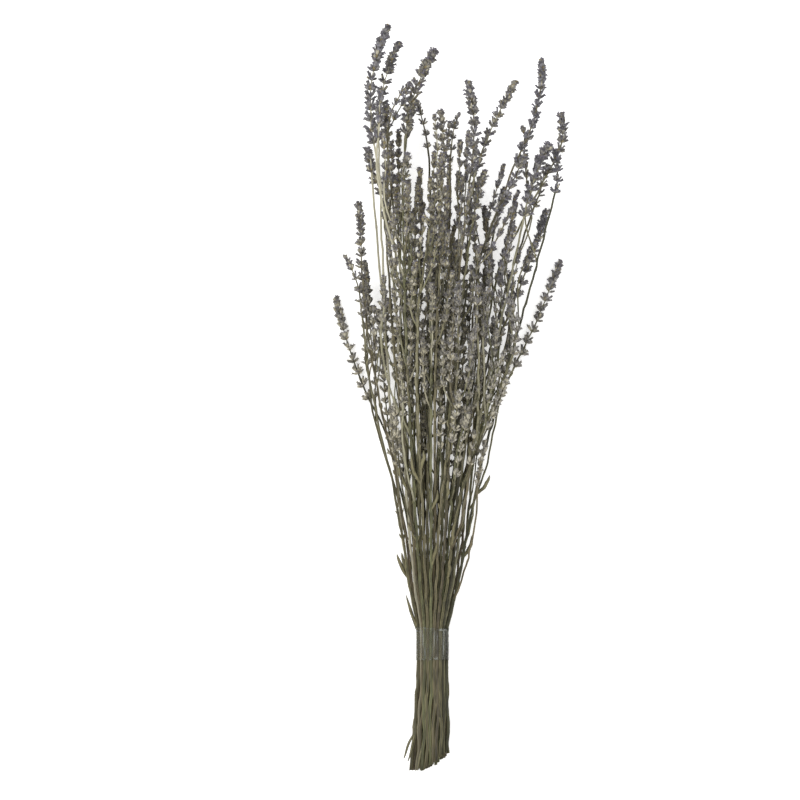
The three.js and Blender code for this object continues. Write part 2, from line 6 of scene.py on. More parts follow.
import bpy
import numpy as np
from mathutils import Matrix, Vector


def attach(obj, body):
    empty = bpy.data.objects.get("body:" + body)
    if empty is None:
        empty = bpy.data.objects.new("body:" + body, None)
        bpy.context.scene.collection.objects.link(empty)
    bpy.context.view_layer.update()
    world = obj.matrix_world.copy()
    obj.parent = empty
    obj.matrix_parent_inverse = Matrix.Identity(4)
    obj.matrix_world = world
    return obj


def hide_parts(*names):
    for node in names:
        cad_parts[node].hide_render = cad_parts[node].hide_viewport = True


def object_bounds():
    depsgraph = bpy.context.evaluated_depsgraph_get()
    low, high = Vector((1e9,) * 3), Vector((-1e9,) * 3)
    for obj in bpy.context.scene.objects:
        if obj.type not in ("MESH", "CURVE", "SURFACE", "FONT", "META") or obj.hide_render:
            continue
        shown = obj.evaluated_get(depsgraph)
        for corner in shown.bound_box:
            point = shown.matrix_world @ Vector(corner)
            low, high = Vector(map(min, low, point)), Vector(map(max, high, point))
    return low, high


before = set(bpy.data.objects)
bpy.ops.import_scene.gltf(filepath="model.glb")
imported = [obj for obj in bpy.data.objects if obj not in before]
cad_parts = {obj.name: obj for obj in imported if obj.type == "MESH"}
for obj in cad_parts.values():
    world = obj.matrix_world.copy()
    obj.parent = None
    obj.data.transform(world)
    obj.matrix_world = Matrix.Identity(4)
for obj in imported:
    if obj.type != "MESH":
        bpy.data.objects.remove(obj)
solid_low, solid_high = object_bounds()

# Table top. The bunch lies on a wide sheet of white acrylic, as for a shop's picture: it glows
# faintly from below, three large soft lamps hang above, and the room round it is white. The
# camera looks straight down.
TABLE_HALF_SIDE = 4.0
TABLE_DROP = 0.0003  # so that the film and the lowest flowers touch it and don't sink in
TABLE_COLOUR, TABLE_ROUGHNESS, TABLE_GLOW = (0.9, 0.9, 0.89, 1), 0.8, 0.5
WHITE = (1, 1, 1, 1)
ROOM_BRIGHTNESS = 0.7
VIEW_HEIGHT = 5.0
VIEW_MIDDLE = (-0.0405, -0.0004)
VIEW_WIDTH = 0.6426  # the photograph's width at the middle of the bunch

# Place, side and watts of each lamp
LAMPS = (
    ((-0.9, 0.7, 1.7), 1.2, 21.0),
    ((1.0, 0.5, 1.9), 1.6, 7.0),
    ((0.1, -1.2, 1.8), 1.6, 7.0),
)

corner_signs = ((-1, -1), (1, -1), (1, 1), (-1, 1))
table_corners = [(x * TABLE_HALF_SIDE, y * TABLE_HALF_SIDE, -TABLE_DROP) for x, y in corner_signs]
table_mesh = bpy.data.meshes.new("table_top")
table_mesh.from_pydata(table_corners, [], [(0, 1, 2, 3)])
table = bpy.data.objects.new("table_top", table_mesh)
bpy.context.collection.objects.link(table)
acrylic = bpy.data.materials.new("table_paint")
acrylic.use_nodes = True
sockets = acrylic.node_tree.nodes["Principled BSDF"].inputs
sockets["Base Color"].default_value = TABLE_COLOUR
sockets["Roughness"].default_value = TABLE_ROUGHNESS
sockets["Emission Color"].default_value = WHITE
sockets["Emission Strength"].default_value = TABLE_GLOW
table_mesh.materials.append(acrylic)

for number, (hung_at, side, watts) in enumerate(LAMPS):
    lamp = bpy.data.lights.new(f"lamp_{number}", "AREA")
    lamp.size = side
    lamp.energy = watts
    hung = bpy.data.objects.new(lamp.name, lamp)
    hung.location = hung_at
    tilt = math.atan2(math.hypot(hung_at[0], hung_at[1]), hung_at[2])  # to face the table's middle
    hung.rotation_euler = (0, tilt, math.atan2(hung_at[1], hung_at[0]))
    bpy.context.collection.objects.link(hung)

room = bpy.data.worlds.new("room")
room.use_nodes = True
room.node_tree.nodes["Background"].inputs["Color"].default_value = WHITE
room.node_tree.nodes["Background"].inputs["Strength"].default_value = ROOM_BRIGHTNESS
bpy.context.scene.world = room
bpy.context.scene.view_settings.view_transform = "Standard"

bunch_height = solid_high.z - solid_low.z
lens = bpy.data.cameras.new("overhead")
lens.lens = lens.sensor_width * (VIEW_HEIGHT - bunch_height / 2) / VIEW_WIDTH
camera = bpy.data.objects.new("overhead", lens)
camera.location = (*VIEW_MIDDLE, VIEW_HEIGHT)
bpy.context.collection.objects.link(camera)
bpy.context.scene.camera = camera

# How the stems run. 56 cut stems lie in the tie like bricks in a wall and fan out above
# it, each to its own spike; side shoots and leaves leave them on the way. The draws are
# seeded and each piece is drawn again until it is clear of the others, as they grew.
STALK_SIDE_CUT, STALK_SIDE_FOOT, SHOOT_SIDE = 2.3, 1.5, 1.1

# The tie, and the slots of the stalks in it
TIE_Y, TIE_WIDTH = -198.0, 26.0
TIE_WALL, TIE_CLEARANCE, TIE_STILL = 0.6, 0.3, 1.0
SLOT_PITCH_X, SLOT_PITCH_Z = 2.6, 2.5
LOWEST_ROW, LAST_COLUMN = 3, 6
TIE_HALF_WIDTH, TIE_HALF_DEPTH = 12.5, 9.1
TIE_CENTRE_X = -14.2
TIE_CENTRE_Z = LOWEST_ROW * SLOT_PITCH_Z + STALK_SIDE_CUT / 2 + TIE_CLEARANCE + TIE_WALL

# The cut ends: on a slanted line, spread out under the tie, with the leftmost ones loose
LOWEST_CUT, CUT_SLANT = -300.0, 0.62
CUT_RIGHT_X, CUT_RIGHT_Y = -1.0, -286.0
CUT_SPLAY, CUT_DRIFT, CUT_LIFT = 1.14, -1.0, 1.6
CUT_UNEVEN, CUT_SHIFT = 2.5, 0.25
LOOSE_FROM, LOOSE_SPLAY = -0.6, 8.0

# The fan above the tie, and how the stalks part in it
FAN_START_X, FAN_LEAN, FAN_SPREAD, FAN_WIDEST = -16.0, 0.046, 0.2035, 56.0
FAN_RISE, FAN_HIGHEST, FAN_LOWEST, FAN_LIFT_LENGTH = 0.225, 88.0, 4.2, 60.0
PARTING_Y, PARTING_STEPS, FREE_STEPS = -112.0, 2, 4
LEAVING, ARRIVING = 1.5, 0.75

# Spikes: their whorls, and how the drawn ones follow their slots
WHORL_RADIUS, WHORL_PITCH = 4.3, 8.2
TIP_TAPER, TAPER_POWER = 0.42, 1.5
DRAWN_FOOT_Y, DRAWN_LENGTH, DRAWN_BOW = (-50, 112), (60, 86), (-4, 4)
SIZE_SPREAD = (0.92, 1.08)
SLOT_FOLLOWED, JITTER_ACROSS, JITTER_UP, TIP_DRIFT = 0.92, 0.12, 0.16, 0.08
EDGE, LOOSENING = 0.95, 0.02

# Side shoots and leaves
SHOOT_COUNT, SHOOT_SIZE = 80, 0.9
SHOOT_BELOW_SPIKE, SHOOT_RISE, SHOOT_SPIKE_LENGTH = (24, 90), (14, 24), (32, 54)
SHOOT_REACH, SHOOT_OPENING = (6, 11), (1.1, 1.6)
SHOOT_LOWEST, SHOOT_HIGHEST, SHOOT_WITHIN, SHOOT_MARGIN = -90, 190, 1.02, 6
LEAF_COUNT, LEAF_ROOT_Y, LEAF_LENGTH, LEAF_REACH = 22, (-160, -50), (16, 26), (5, 9)
LEAF_ARCH, LEAF_MARGIN, LEAF_WIDTH = 1.6, 5, 3.0

# What lies between the pieces, and the levels up the bunch where that is measured
STALK_GAP, WHORL_GAP = 0.2, 0.5
LEVEL_LOWEST, LEVEL_STEP, LEVEL_COUNT = -176, 3, 160
LEVELS = LEVEL_LOWEST + LEVEL_STEP * np.arange(LEVEL_COUNT)
MOST_PLACED = 400
SMALL = 1e-9
PLAN_SEED = 35

# Tip and foot of each spike on the outline, as x, y, z, its bow, its whorls and its size
OUTLINE_STEMS = (
    ((-50, 300, 64), (-61, 205, 60), -8, 13, 1.15),
    ((-41, 288, 46), (-58, 208, 40), -5, 10, 1.05),
    ((-12, 281, 62), (-36, 213, 52), -4.5, 10, 1.2),
    ((-31, 255, 80), (-50, 218, 74), -4, 5, 0.7),
    ((-27, 242, 38), (-18, 203, 34), 1, 5, 0.7),
    ((-8, 232, 70), (-6, 190, 66), 1, 6, 0.85),
    ((7, 231, 52), (0, 190, 50), -2, 5, 0.7),
    ((14, 255, 82), (16, 180, 76), 3.5, 9, 1.1),
    ((53, 256, 66), (21, 186, 58), -2.5, 10, 1),
    ((73, 274, 52), (52, 190, 46), 6.5, 11, 1),
    ((60, 197, 76), (37, 150, 69), 1, 6, 1),
    ((88, 231, 44), (78, 182, 40), 6.5, 7, 1),
    ((84, 201, 60), (84, 166, 58), 2, 5, 0.9),
    ((79, 205, 72), (59, 147, 64), -2, 7, 1.2),
    ((78, 190, 28), (68, 156, 25), 1, 5, 0.85),
    ((78, 154, 24), (53, 83, 20), 1.5, 9, 1),
    ((89.5, 113, 4), (52, 26, 4.2), 2, 11, 1),
    ((-73.5, 159, 44), (-70, 86, 40), 0, 9, 0.95),
    ((-70, 100, 17), (-67, 28, 16), 1, 9, 0.95),
    ((-85.5, 117, 52), (-71, 68, 48), 3.5, 6, 0.8),
    ((-93, 84, 3.6), (-65, 0, 4.2), -3, 10, 1),
    ((-55, 43, 15), (-47, -44, 15), -1, 10, 0.95),
    ((-6, 197, 88), (-16, 140, 84), 1, 7, 1.05),
    ((28, 184, 64), (16, 132, 62), -1, 6, 0.95),
    ((-34, 197, 84), (-38, 150, 80), -1, 6, 0.95),
    ((45, 82, 62), (50, 36, 58), 5, 6, 0.95),
    ((-52, 238, 27), (-48, 176, 24), -1, 8, 1.1),
    ((-67, 204, 16), (-54, 166, 16), -2, 5, 1.05),
)


def seeded_draws(seed):
    """Uniform draws from 0 to 1: a counter whose bits are mixed by shifts and products, in 32 bits."""
    low_bits, step = 0xFFFFFFFF, 0x6D2B79F5
    state = seed

    def draw():
        nonlocal state
        state = (state + step) & low_bits
        bits = ((state ^ (state >> 15)) * (1 | state)) & low_bits
        product = ((bits ^ (bits >> 7)) * (61 | bits)) & low_bits
        bits = ((bits + product) & low_bits) ^ bits
        return (bits ^ (bits >> 14)) / 2**32

    return draw


draw = seeded_draws(PLAN_SEED)


def between(low, high):
    """A draw in a range: its low end plus the draw's share of its length."""
    return low + (high - low) * draw()


def within(reach):
    """A draw from minus a reach to plus that reach."""
    return between(-reach, reach)


def clamp(value, low, high):
    """A value, or the end of the range that it lies beyond."""
    return max(low, min(high, value))


def stretch(start, end):
    """One row of an axis, from two ends that are each x, y, z and the slopes of x and z along y."""
    return np.array([[start[1], end[1], *(v for i in (0, 3, 2, 4) for v in (start[i], end[i]))]], float)


def on_axis(axis, y):
    """x, y, z and the slopes of x and z at y. On a stretch both are cubics of y, a mean of the two
    ends weighted by (1 - t)^2 (1 + 2t) and t^2 (3 - 2t), with the end slopes times t (1 - t)^2."""
    y = np.asarray(y, float)
    row = axis[np.minimum(np.searchsorted(axis[:, 1], y), len(axis) - 1)]
    y0, y1, x0, x1, slope_x0, slope_x1, z0, z1, slope_z0, slope_z1 = np.moveaxis(row, -1, 0)
    length = y1 - y0
    t = (y - y0) / length
    u = 1 - t

    def cubic(a, b, slope_a, slope_b):
        ends = a * u * u * (1 + 2 * t) + b * t * t * (3 - 2 * t)
        value = ends + slope_a * length * t * u * u - slope_b * length * t * t * u
        slope = 6 * t * u * (b - a) / length + slope_a * u * (u - 2 * t) + slope_b * t * (t - 2 * u)
        return value, slope

    x, slope_x = cubic(x0, x1, slope_x0, slope_x1)
    z, slope_z = cubic(z0, z1, slope_z0, slope_z1)
    return x, y, z, slope_x, slope_z


def straightened(whole, steps):
    """Straight stretches of equal rise, whose ends lie on a curved one."""
    rise = (whole[0, 1] - whole[0, 0]) / steps
    ends = [on_axis(whole, whole[0, 0] + i * rise) for i in range(steps + 1)]
    rows = []
    for low, high in zip(ends, ends[1:]):
        slopes = ((high[0] - low[0]) / rise, (high[2] - low[2]) / rise)
        rows.append(stretch((*low[:3], *slopes), (*high[:3], *slopes)))
    return rows


def spike_stretch(foot, tip, bow):
    """A flower spike's axis, bowed sideways like a parabola: its slopes are the chord's, plus four
    bows over its length at the foot and minus as much at the tip."""
    length = tip[1] - foot[1]
    chord_x = (tip[0] - foot[0]) / length
    chord_z = (tip[2] - foot[2]) / length
    turn = 4 * bow / length
    return stretch((*foot, chord_x + turn, chord_z), (*tip, chord_x - turn, chord_z))


def fan_at(y):
    """Middle, half width, lowest and highest axis of the fan at y. All change evenly with the
    height above the tie, until the fan is at its widest, lowest and highest."""
    above = max(y - TIE_Y - TIE_WIDTH / 2, 0)
    lifted = min(above / FAN_LIFT_LENGTH, 1)
    lowest_held = TIE_CENTRE_Z - TIE_HALF_DEPTH
    return (
        FAN_START_X + FAN_LEAN * above,
        min(TIE_HALF_WIDTH + FAN_SPREAD * above, FAN_WIDEST),
        lowest_held + (FAN_LOWEST - lowest_held) * lifted,
        min(TIE_CENTRE_Z + TIE_HALF_DEPTH + FAN_RISE * above, FAN_HIGHEST),
    )


def in_fan(y, across, up):
    """The point at y whose place across and up the fan is given from -1 to 1."""
    middle, half_width, lowest, highest = fan_at(y)
    return middle + half_width * across, y, lowest + (highest - lowest) * ((up + 1) / 2)


def tie_slots():
    """Slots for the stalks as x, z, across, up: rows like bricks, each second one moved by half a
    pitch; one slot for each stem, nearest the middle first."""
    slots = []
    for row in range(-LOWEST_ROW, LOWEST_ROW + 1):
        shift = 0.5 if row % 2 else 0
        for column in range(-LAST_COLUMN, LAST_COLUMN + 1):
            x = (column + shift) * SLOT_PITCH_X
            z = row * SLOT_PITCH_Z
            slots.append((x, z, x / TIE_HALF_WIDTH, z / TIE_HALF_DEPTH))
    slots.sort(key=lambda slot: slot[2] * slot[2] + slot[3] * slot[3])
    return slots[: len(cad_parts) - 1]


def settle(slots):
    """Swaps slots while that brings the outline's stems nearer to their places in the fan. The
    miss is the square of the distance between the two, and the drawn stems have none."""
    targets = []
    for _tip, (x, y, z), *_rest in OUTLINE_STEMS:
        middle, half_width, lowest, highest = fan_at(y)
        targets.append(((x - middle) / half_width, 2 * (z - lowest) / (highest - lowest) - 1))

    def miss(i, slot):
        if i >= len(targets):
            return 0
        return (targets[i][0] - slot[2]) ** 2 + (targets[i][1] - slot[3]) ** 2

    swapped = True
    while swapped:
        swapped = False
        for i in range(len(targets)):
            for j in range(i + 1, len(slots)):
                now = miss(i, slots[i]) + miss(j, slots[j])
                then = miss(i, slots[j]) + miss(j, slots[i])
                if then < now - SMALL:
                    slots[i], slots[j] = slots[j], slots[i]
                    swapped = True
    return slots


def stem_axis(slot, spike):
    """A stem's axis: from its cut end on the slanted line straight to the tie, upright through its
    slot, in straight steps along a curve to where the stalks part, and so on to its spike."""
    held_x = TIE_CENTRE_X + slot[0]
    held_z = TIE_CENTRE_Z + slot[1]
    below = TIE_Y - TIE_WIDTH / 2 - TIE_STILL
    above = TIE_Y + TIE_WIDTH / 2 + TIE_STILL
    loose = LOOSE_SPLAY * min(slot[2] - LOOSE_FROM, 0)
    cut_x = TIE_CENTRE_X + CUT_DRIFT + CUT_SPLAY * slot[0] + loose + within(CUT_SHIFT)
    cut_z = TIE_CENTRE_Z + CUT_LIFT + CUT_SPLAY * slot[1] + within(CUT_SHIFT)
    on_line = CUT_RIGHT_Y - CUT_SLANT * (CUT_RIGHT_X - cut_x)
    cut_y = max(on_line + within(CUT_UNEVEN), LOWEST_CUT)
    run = below - cut_y
    cut = (cut_x, cut_y, cut_z, (held_x - cut_x) / run, (held_z - cut_z) / run)
    parting = in_fan(PARTING_Y, slot[2], slot[3])
    mean_x = (parting[0] - held_x) / (PARTING_Y - above)
    mean_z = (parting[2] - held_z) / (PARTING_Y - above)
    leaving = (held_x, above, held_z, LEAVING * mean_x, LEAVING * mean_z)
    arriving = (*parting, ARRIVING * mean_x, ARRIVING * mean_z)
    foot = on_axis(spike, spike[0, 0])
    return np.concatenate(
        [
            stretch(cut, (held_x, below, held_z, 0, 0)),
            stretch((held_x, below, held_z, 0, 0), (held_x, above, held_z, 0, 0)),
            *straightened(stretch(leaving, arriving), PARTING_STEPS),
            *straightened(stretch(arriving, foot), FREE_STEPS),
            spike,
        ]
    )


def stalk_side(stem, y):
    """Width of the square stalk, which narrows evenly from its root to its spike."""
    share = (y - stem["axis"][0, 0]) / (stem["foot_y"] - stem["axis"][0, 0])
    return stem["root_side"] + (stem["foot_side"] - stem["root_side"]) * share


def whorl_radius(stem, share):
    """Radius of the whorls at a share of the spike's length: less by TIP_TAPER at the tip, and
    before it by that times the share to the power TAPER_POWER."""
    return WHORL_RADIUS * stem["size"] * (1 - TIP_TAPER * share**TAPER_POWER)


def whorl_count(length):
    """The whole number of whorls that comes nearest to a spike's length over their pitch."""
    return math.floor(length / WHORL_PITCH + 0.5)


def levels_of(axis, margin, half_width):
    """x, z, half width and whether it is bare stalk, at each level; NaN where the piece isn't. A
    level cuts a slanted piece wider, by the root of 1 plus its squared slopes."""
    x, y, z, slope_x, slope_z = on_axis(axis, LEVELS)
    half, bare = half_width(y)
    levels = np.array([x, z, half * np.sqrt(1 + slope_x**2 + slope_z**2), bare])
    levels[:, (y < axis[0, 0] + margin) | (y > axis[-1, 1])] = np.nan
    return levels


def flower_levels(stem, margin):
    """The levels of a stem or side shoot: bare stalk below its spike's foot, whorls above it."""

    def half_width(y):
        bare = y < stem["foot_y"]
        share = np.clip((y - stem["foot_y"]) / (stem["tip_y"] - stem["foot_y"]), 0, 1)
        return np.where(bare, stalk_side(stem, y) / 2, whorl_radius(stem, share)), bare

    return levels_of(stem["axis"], margin, half_width)


placed = np.full((MOST_PLACED, 4, LEVEL_COUNT), np.nan)
placed_count = 0


def is_clear(levels):
    """Whether a piece stays clear of all that is placed. Two bare stalks are square and lie the
    same way round, so the wider way counts between them, and else the distance."""
    others = placed[:placed_count]
    across = np.abs(levels[0] - others[:, 0])
    up = np.abs(levels[1] - others[:, 1])
    halves = levels[2] + others[:, 2]
    both_bare = levels[3] * others[:, 3] == 1
    bare_near = np.maximum(across, up) <= halves + STALK_GAP
    near = np.hypot(across, up) <= halves + WHORL_GAP
    return not np.where(both_bare, bare_near, near).any()


def settled(piece):
    """The piece itself, once its levels are written down for those that are drawn after it."""
    global placed_count
    placed[placed_count] = piece["levels"]
    placed_count += 1
    return piece


def grown(axis, whorls, size, sides, margin=0):
    """A stem or side shoot on its axis, whose last stretch is its spike; sides are the stalk's
    widths at its root and foot."""
    stem = {"axis": axis, "foot_y": axis[-1, 0], "tip_y": axis[-1, 1], "whorls": whorls, "size": size}
    stem |= {"root_side": sides[0], "foot_side": sides[1]}
    stem["levels"] = flower_levels(stem, margin)
    return stem


def held_stem(slot, spike, whorls, size):
    """A stem that the tie holds in a slot."""
    return grown(stem_axis(slot, spike), whorls, size, (STALK_SIDE_CUT, STALK_SIDE_FOOT))


def drawn_spike(slot, tries):
    """A spike whose slot says where in the fan it stands, with a jitter that grows with the tries."""
    foot_y = between(*DRAWN_FOOT_Y)
    length = between(*DRAWN_LENGTH)
    loose = 1 + tries * LOOSENING
    across = clamp(SLOT_FOLLOWED * slot[2] + within(loose * JITTER_ACROSS), -EDGE, EDGE)
    up = clamp(slot[3] + within(loose * JITTER_UP), -1, 1)
    tip_across = clamp(across + within(TIP_DRIFT), -EDGE, EDGE)
    tip_up = clamp(up + within(TIP_DRIFT), -1, 1)
    foot = in_fan(foot_y, across, up)
    tip = in_fan(foot_y + length, tip_across, tip_up)
    spike = spike_stretch(foot, tip, between(*DRAWN_BOW))
    return spike, whorl_count(length), between(*SIZE_SPREAD)


def drawn_shoot(stem):
    """A side shoot that leaves the stalk, then runs up beside it at a reach that opens out. One
    that would stand out of the fan is none."""
    root_y = max(stem["foot_y"] - between(*SHOOT_BELOW_SPIKE), SHOOT_LOWEST)
    root = on_axis(stem["axis"], root_y)
    rise = between(*SHOOT_RISE)
    length = between(*SHOOT_SPIKE_LENGTH)
    angle = between(0, 2 * math.pi)
    reach = between(*SHOOT_REACH)
    aside_x, aside_z = math.cos(angle), math.sin(angle)

    def beside(y, distance):
        x, _y, z, *_slopes = on_axis(stem["axis"], y)
        return x + distance * aside_x, y, max(z + distance * aside_z, FAN_LOWEST)

    foot = beside(root_y + rise, reach)
    tip = beside(root_y + rise + length, reach * between(*SHOOT_OPENING))
    middle, half_width, *_heights = fan_at(tip[1])
    if abs(tip[0] - middle) > SHOOT_WITHIN * half_width or tip[1] > SHOOT_HIGHEST:
        return None
    spike = spike_stretch(foot, tip, 0)
    slopes = (root[3] + reach / rise * aside_x, root[4] + reach / rise * aside_z)
    stalk = stretch((*root[:3], *slopes), on_axis(spike, foot[1]))
    size = SHOOT_SIZE * between(*SIZE_SPREAD)
    axis = np.concatenate([stalk, spike])
    return grown(axis, whorl_count(length), size, (SHOOT_SIDE, SHOOT_SIDE), SHOOT_MARGIN)


def drawn_leaf(stem):
    """A narrow leaf that stands off the stalk, on a cubic that leaves it steeply by LEAF_ARCH times
    its mean slopes and ends along it."""
    root_y = between(*LEAF_ROOT_Y)
    root = on_axis(stem["axis"], root_y)
    length = between(*LEAF_LENGTH)
    angle = between(0, 2 * math.pi)
    reach = between(*LEAF_REACH)
    end = on_axis(stem["axis"], root_y + length)
    tip_x = end[0] + reach * math.cos(angle)
    tip_z = max(end[2] + reach * math.sin(angle), FAN_LOWEST)
    slope_x = LEAF_ARCH * (tip_x - root[0]) / length
    slope_z = LEAF_ARCH * (tip_z - root[2]) / length
    axis = stretch((*root[:3], slope_x, slope_z), (tip_x, root_y + length, tip_z, *end[3:]))
    levels = levels_of(axis, LEAF_MARGIN, lambda y: (np.full_like(y, LEAF_WIDTH / 2), y < y))
    return {"axis": axis, "levels": levels}


stems = []
for number, slot in enumerate(settle(tie_slots())):
    if number < len(OUTLINE_STEMS):
        tip, foot, bow, whorls, size = OUTLINE_STEMS[number]
        stem = held_stem(slot, spike_stretch(foot, tip, bow), whorls, size)
    else:
        tries = 0
        stem = None
        while not (stem and is_clear(stem["levels"])):
            stem = held_stem(slot, *drawn_spike(slot, tries))
            tries += 1
    stems.append(settled(stem))
for stem in stems:
    stem |= {"shoots": [], "leaves": [], "branches": []}
outgrowths = [("shoots", drawn_shoot)] * SHOOT_COUNT + [("leaves", drawn_leaf)] * LEAF_COUNT
for kind, drawn_on in outgrowths:
    piece = None
    while not (piece and is_clear(piece["levels"])):
        stem = stems[math.floor(between(0, len(stems)))]
        piece = drawn_on(stem)
    stem[kind].append(settled(piece))

# Late branches. On a well grown stem the lower joints put out long thin branches too, which
# run up beside the stalk and carry short spikes of their own; they fill the fan's middle.
BRANCH_SIDE, BRANCH_SIDE_PER_RUN = 0.7, 0.008  # a branch that leaves lower is thicker
BRANCH_MARGIN = 10
BRANCH_INTERLOCK = 0.6  # share of the whorls' radius that keeps clear of other spikes
BRANCH_BEND = 2.0
BRANCH_RUNS = (30, 36, 52, 70, 92, 110, 130)
BRANCH_NEAREST, BRANCH_STEEPEST = 3.0, 0.34
BRANCH_HEIGHTS, HEIGHTS_TURNED = (84, 72, 60, 48, 36, 24, 12), 2
BRANCH_LIFT = 3
BRANCH_COUNT = 40
BRANCH_HOSTS = 8
BRANCH_FOOT_Y, BRANCH_LENGTH, BRANCH_BOW = (-80, 70), (28, 50), 2
BRANCH_SIZE = (0.74, 0.96)

# Tip and foot of each spike that the photograph shows apart, as x and y, its bow, its size and
# how far below its foot the branch leaves its stalk at least
SEEN_BRANCHES = (
    ((19, -24), (16, -52), 0, 0.8, 30),
    ((-65.5, 202), (-63.5, 184), 0, 1.1, 110),
    ((28, -32), (22, -64), 0, 0.8, 30),
    ((-45, 0), (-42, -41), 0, 0.9, 30),
    ((-40, -24), (-37, -61), 0, 0.85, 30),
    ((-42, 218), (-41, 176), 0, 1.0, 36),
    ((-47, 208), (-47, 173), 0, 1.0, 36),
    ((-54, 213), (-53, 173), 1, 1.0, 36),
    ((-57, 249), (-58, 209), 1, 1.05, 36),
    ((-30, 241), (-35, 211), 0, 1.1, 36),
    ((-13, 228), (-11, 199), 1, 0.85, 36),
    ((-1, 225), (-4, 195), 1, 0.85, 36),
    ((-13, 200), (-13, 158), 0, 1.0, 36),
    ((8, 208), (6, 166), 0, 1.0, 36),
    ((14, 216), (12, 174), 0, 1.0, 36),
    ((20, 207), (19, 170), 0, 0.95, 36),
    ((70, 196), (62, 162), 1, 1.0, 36),
    ((62, 193), (65, 160), -1, 0.95, 36),
    ((43, 172), (36, 138), 0, 0.9, 36),
    ((69, 129), (59, 108), 0, 0.95, 36),
    ((56, 123), (48, 80), 0, 0.7, 36),
    ((-33, 252), (-46, 224), 1, 0.9, 36),
    ((59, 222), (60, 204), 0, 1.0, 36),
    ((-69, 112), (-64, 58), 0, 1.0, 36),
    ((49, 34), (41, 2), 0, 0.95, 36),
    ((-34, 176), (-34, 138), 0, 1.0, 36),
)


def branch_from(stem, run, foot, tip, bow, size):
    """A branch that leaves a stalk by a run below its foot, at BRANCH_BEND times the mean slopes."""
    root = on_axis(stem["axis"], foot[1] - run)
    spike = spike_stretch(foot, tip, bow)
    start = (*root[:3], BRANCH_BEND * (foot[0] - root[0]) / run, BRANCH_BEND * (foot[2] - root[2]) / run)
    axis = np.concatenate([stretch(start, on_axis(spike, foot[1])), spike])
    side = BRANCH_SIDE + BRANCH_SIDE_PER_RUN * run
    branch = grown(axis, whorl_count(tip[1] - foot[1]), size, (side, side), BRANCH_MARGIN)
    branch["levels"][2] *= np.where(branch["levels"][3] == 1, 1, BRANCH_INTERLOCK)
    return branch


def hosts_of(foot_x, foot_y, foot_z, run):
    """The stems whose bare stalk, a run below a foot, is neither too near it nor too far aside,
    nearest first."""
    level = round((foot_y - run - LEVEL_LOWEST) / LEVEL_STEP)
    if level < 0:
        return []
    x, z, _half, bare = placed[: len(stems), :, level].T
    aside = np.hypot(foot_x - x, foot_z - z)
    fits = (aside > BRANCH_NEAREST) & (aside < BRANCH_STEEPEST * run) & (bare == 1)
    near = np.nonzero(fits)[0]
    return near[np.argsort(aside[near])]


def grow_branch(foot, tip, bow, size, heights, shortest):
    """Tries heights, runs and stems in turn until a branch to a foot and tip is clear; says
    whether one grew."""
    _middle, _half_width, lowest, highest = fan_at(foot[1])
    for z in heights:
        if not lowest <= z <= highest:
            continue
        for run in BRANCH_RUNS[BRANCH_RUNS.index(shortest) :]:
            for host in hosts_of(*foot, z, run)[:BRANCH_HOSTS]:
                branch = branch_from(stems[host], run, (*foot, z), (*tip, z + BRANCH_LIFT), bow, size)
                if is_clear(branch["levels"]):
                    stems[host]["branches"].append(settled(branch))
                    return True
    return False


for number, (tip, foot, bow, size, shortest) in enumerate(SEEN_BRANCHES):
    grow_branch(foot, tip, bow, size, np.roll(BRANCH_HEIGHTS, HEIGHTS_TURNED * number), shortest)
grown_count = 0
while grown_count < BRANCH_COUNT:
    foot_y = between(*BRANCH_FOOT_Y)
    tip_y = foot_y + between(*BRANCH_LENGTH)
    across = within(EDGE)
    foot_x, tip_x = in_fan(foot_y, across, 0)[0], in_fan(tip_y, across, 0)[0]
    bow, size = within(BRANCH_BOW), between(*BRANCH_SIZE)
    height = between(BRANCH_HEIGHTS[-1], BRANCH_HEIGHTS[0])
    grown_count += grow_branch((foot_x, foot_y), (tip_x, tip_y), bow, size, [height], BRANCH_RUNS[1])

# Stalks. Each is square with a raised rib on every corner, thickens at its joints, and is
# cut across with the pale pith showing. They dried olive green and brown, ribs paler. The flat
# faces between the ribs carry painted shade. Up among the flowers the stalks are paler, partly
# as their own greyer tops and partly by painted light. Leaves, small withered leaves at the
# joints and a few strips of torn bark grow on them.
MILLIMETRE = 0.001
STALK_SIDES = 8
RING_SPACING = 8.0
JOINT_SPACING, MOST_JOINTS = (26, 58), 24
JOINT_SWELL, JOINT_HALF_LENGTH = 0.2, 1.5
JOINTS_BELOW_SPIKE = 40
CORNER_HEIGHT, RIB_HEIGHT, RIB_SHARPNESS = 0.38, 0.085, 6
TIP_SIDE, CORE_BELOW_TIP = 0.55, 0.3
CUT_TILT, CUT_NARROWING = 0.35, 0.8
SWAY, BUTT_SWAY, SWAY_GROWTH = 0.36, 0.3, 30
SWAY_SCALE = (2.3, 1.8)
SWAY_LENGTHS, SHORT_SWAY = (8.7, 3.9), 0.6
BLADE_RINGS, BLADE_SIDES = 9, 8
BLADE_RUN, BLADE_SINE, BLADE_POWER = (0.02, 0.99), (0.06, 0.98), 0.6
BLADE_ROLL, BLADE_VEIN = 0.45, 0.9
LEAF_THICKNESS = 0.5
LEAFLET_SHARE = 0.4
LEAFLET_Y, LEAFLET_LENGTH, LEAFLET_REACH, LEAFLET_WIDTH = (-150, 40), (5, 11), (1.8, 4), (1.0, 1.8)
LEAFLET_THICKNESS, LEAFLET_LOWEST = 0.4, 1.0
LEAFLET_SLOPES = (1.4, 0.56)  # at its root and tip, as shares of its mean slope
STRIP_THICKNESS, STRIP_SLOPE = 0.6, 0.9
STALK_OLIVE, STALK_BROWN = "#4c4e2a", "#5c4834"
OLIVE_RIB, BROWN_RIB = "#828358", "#887b5e"
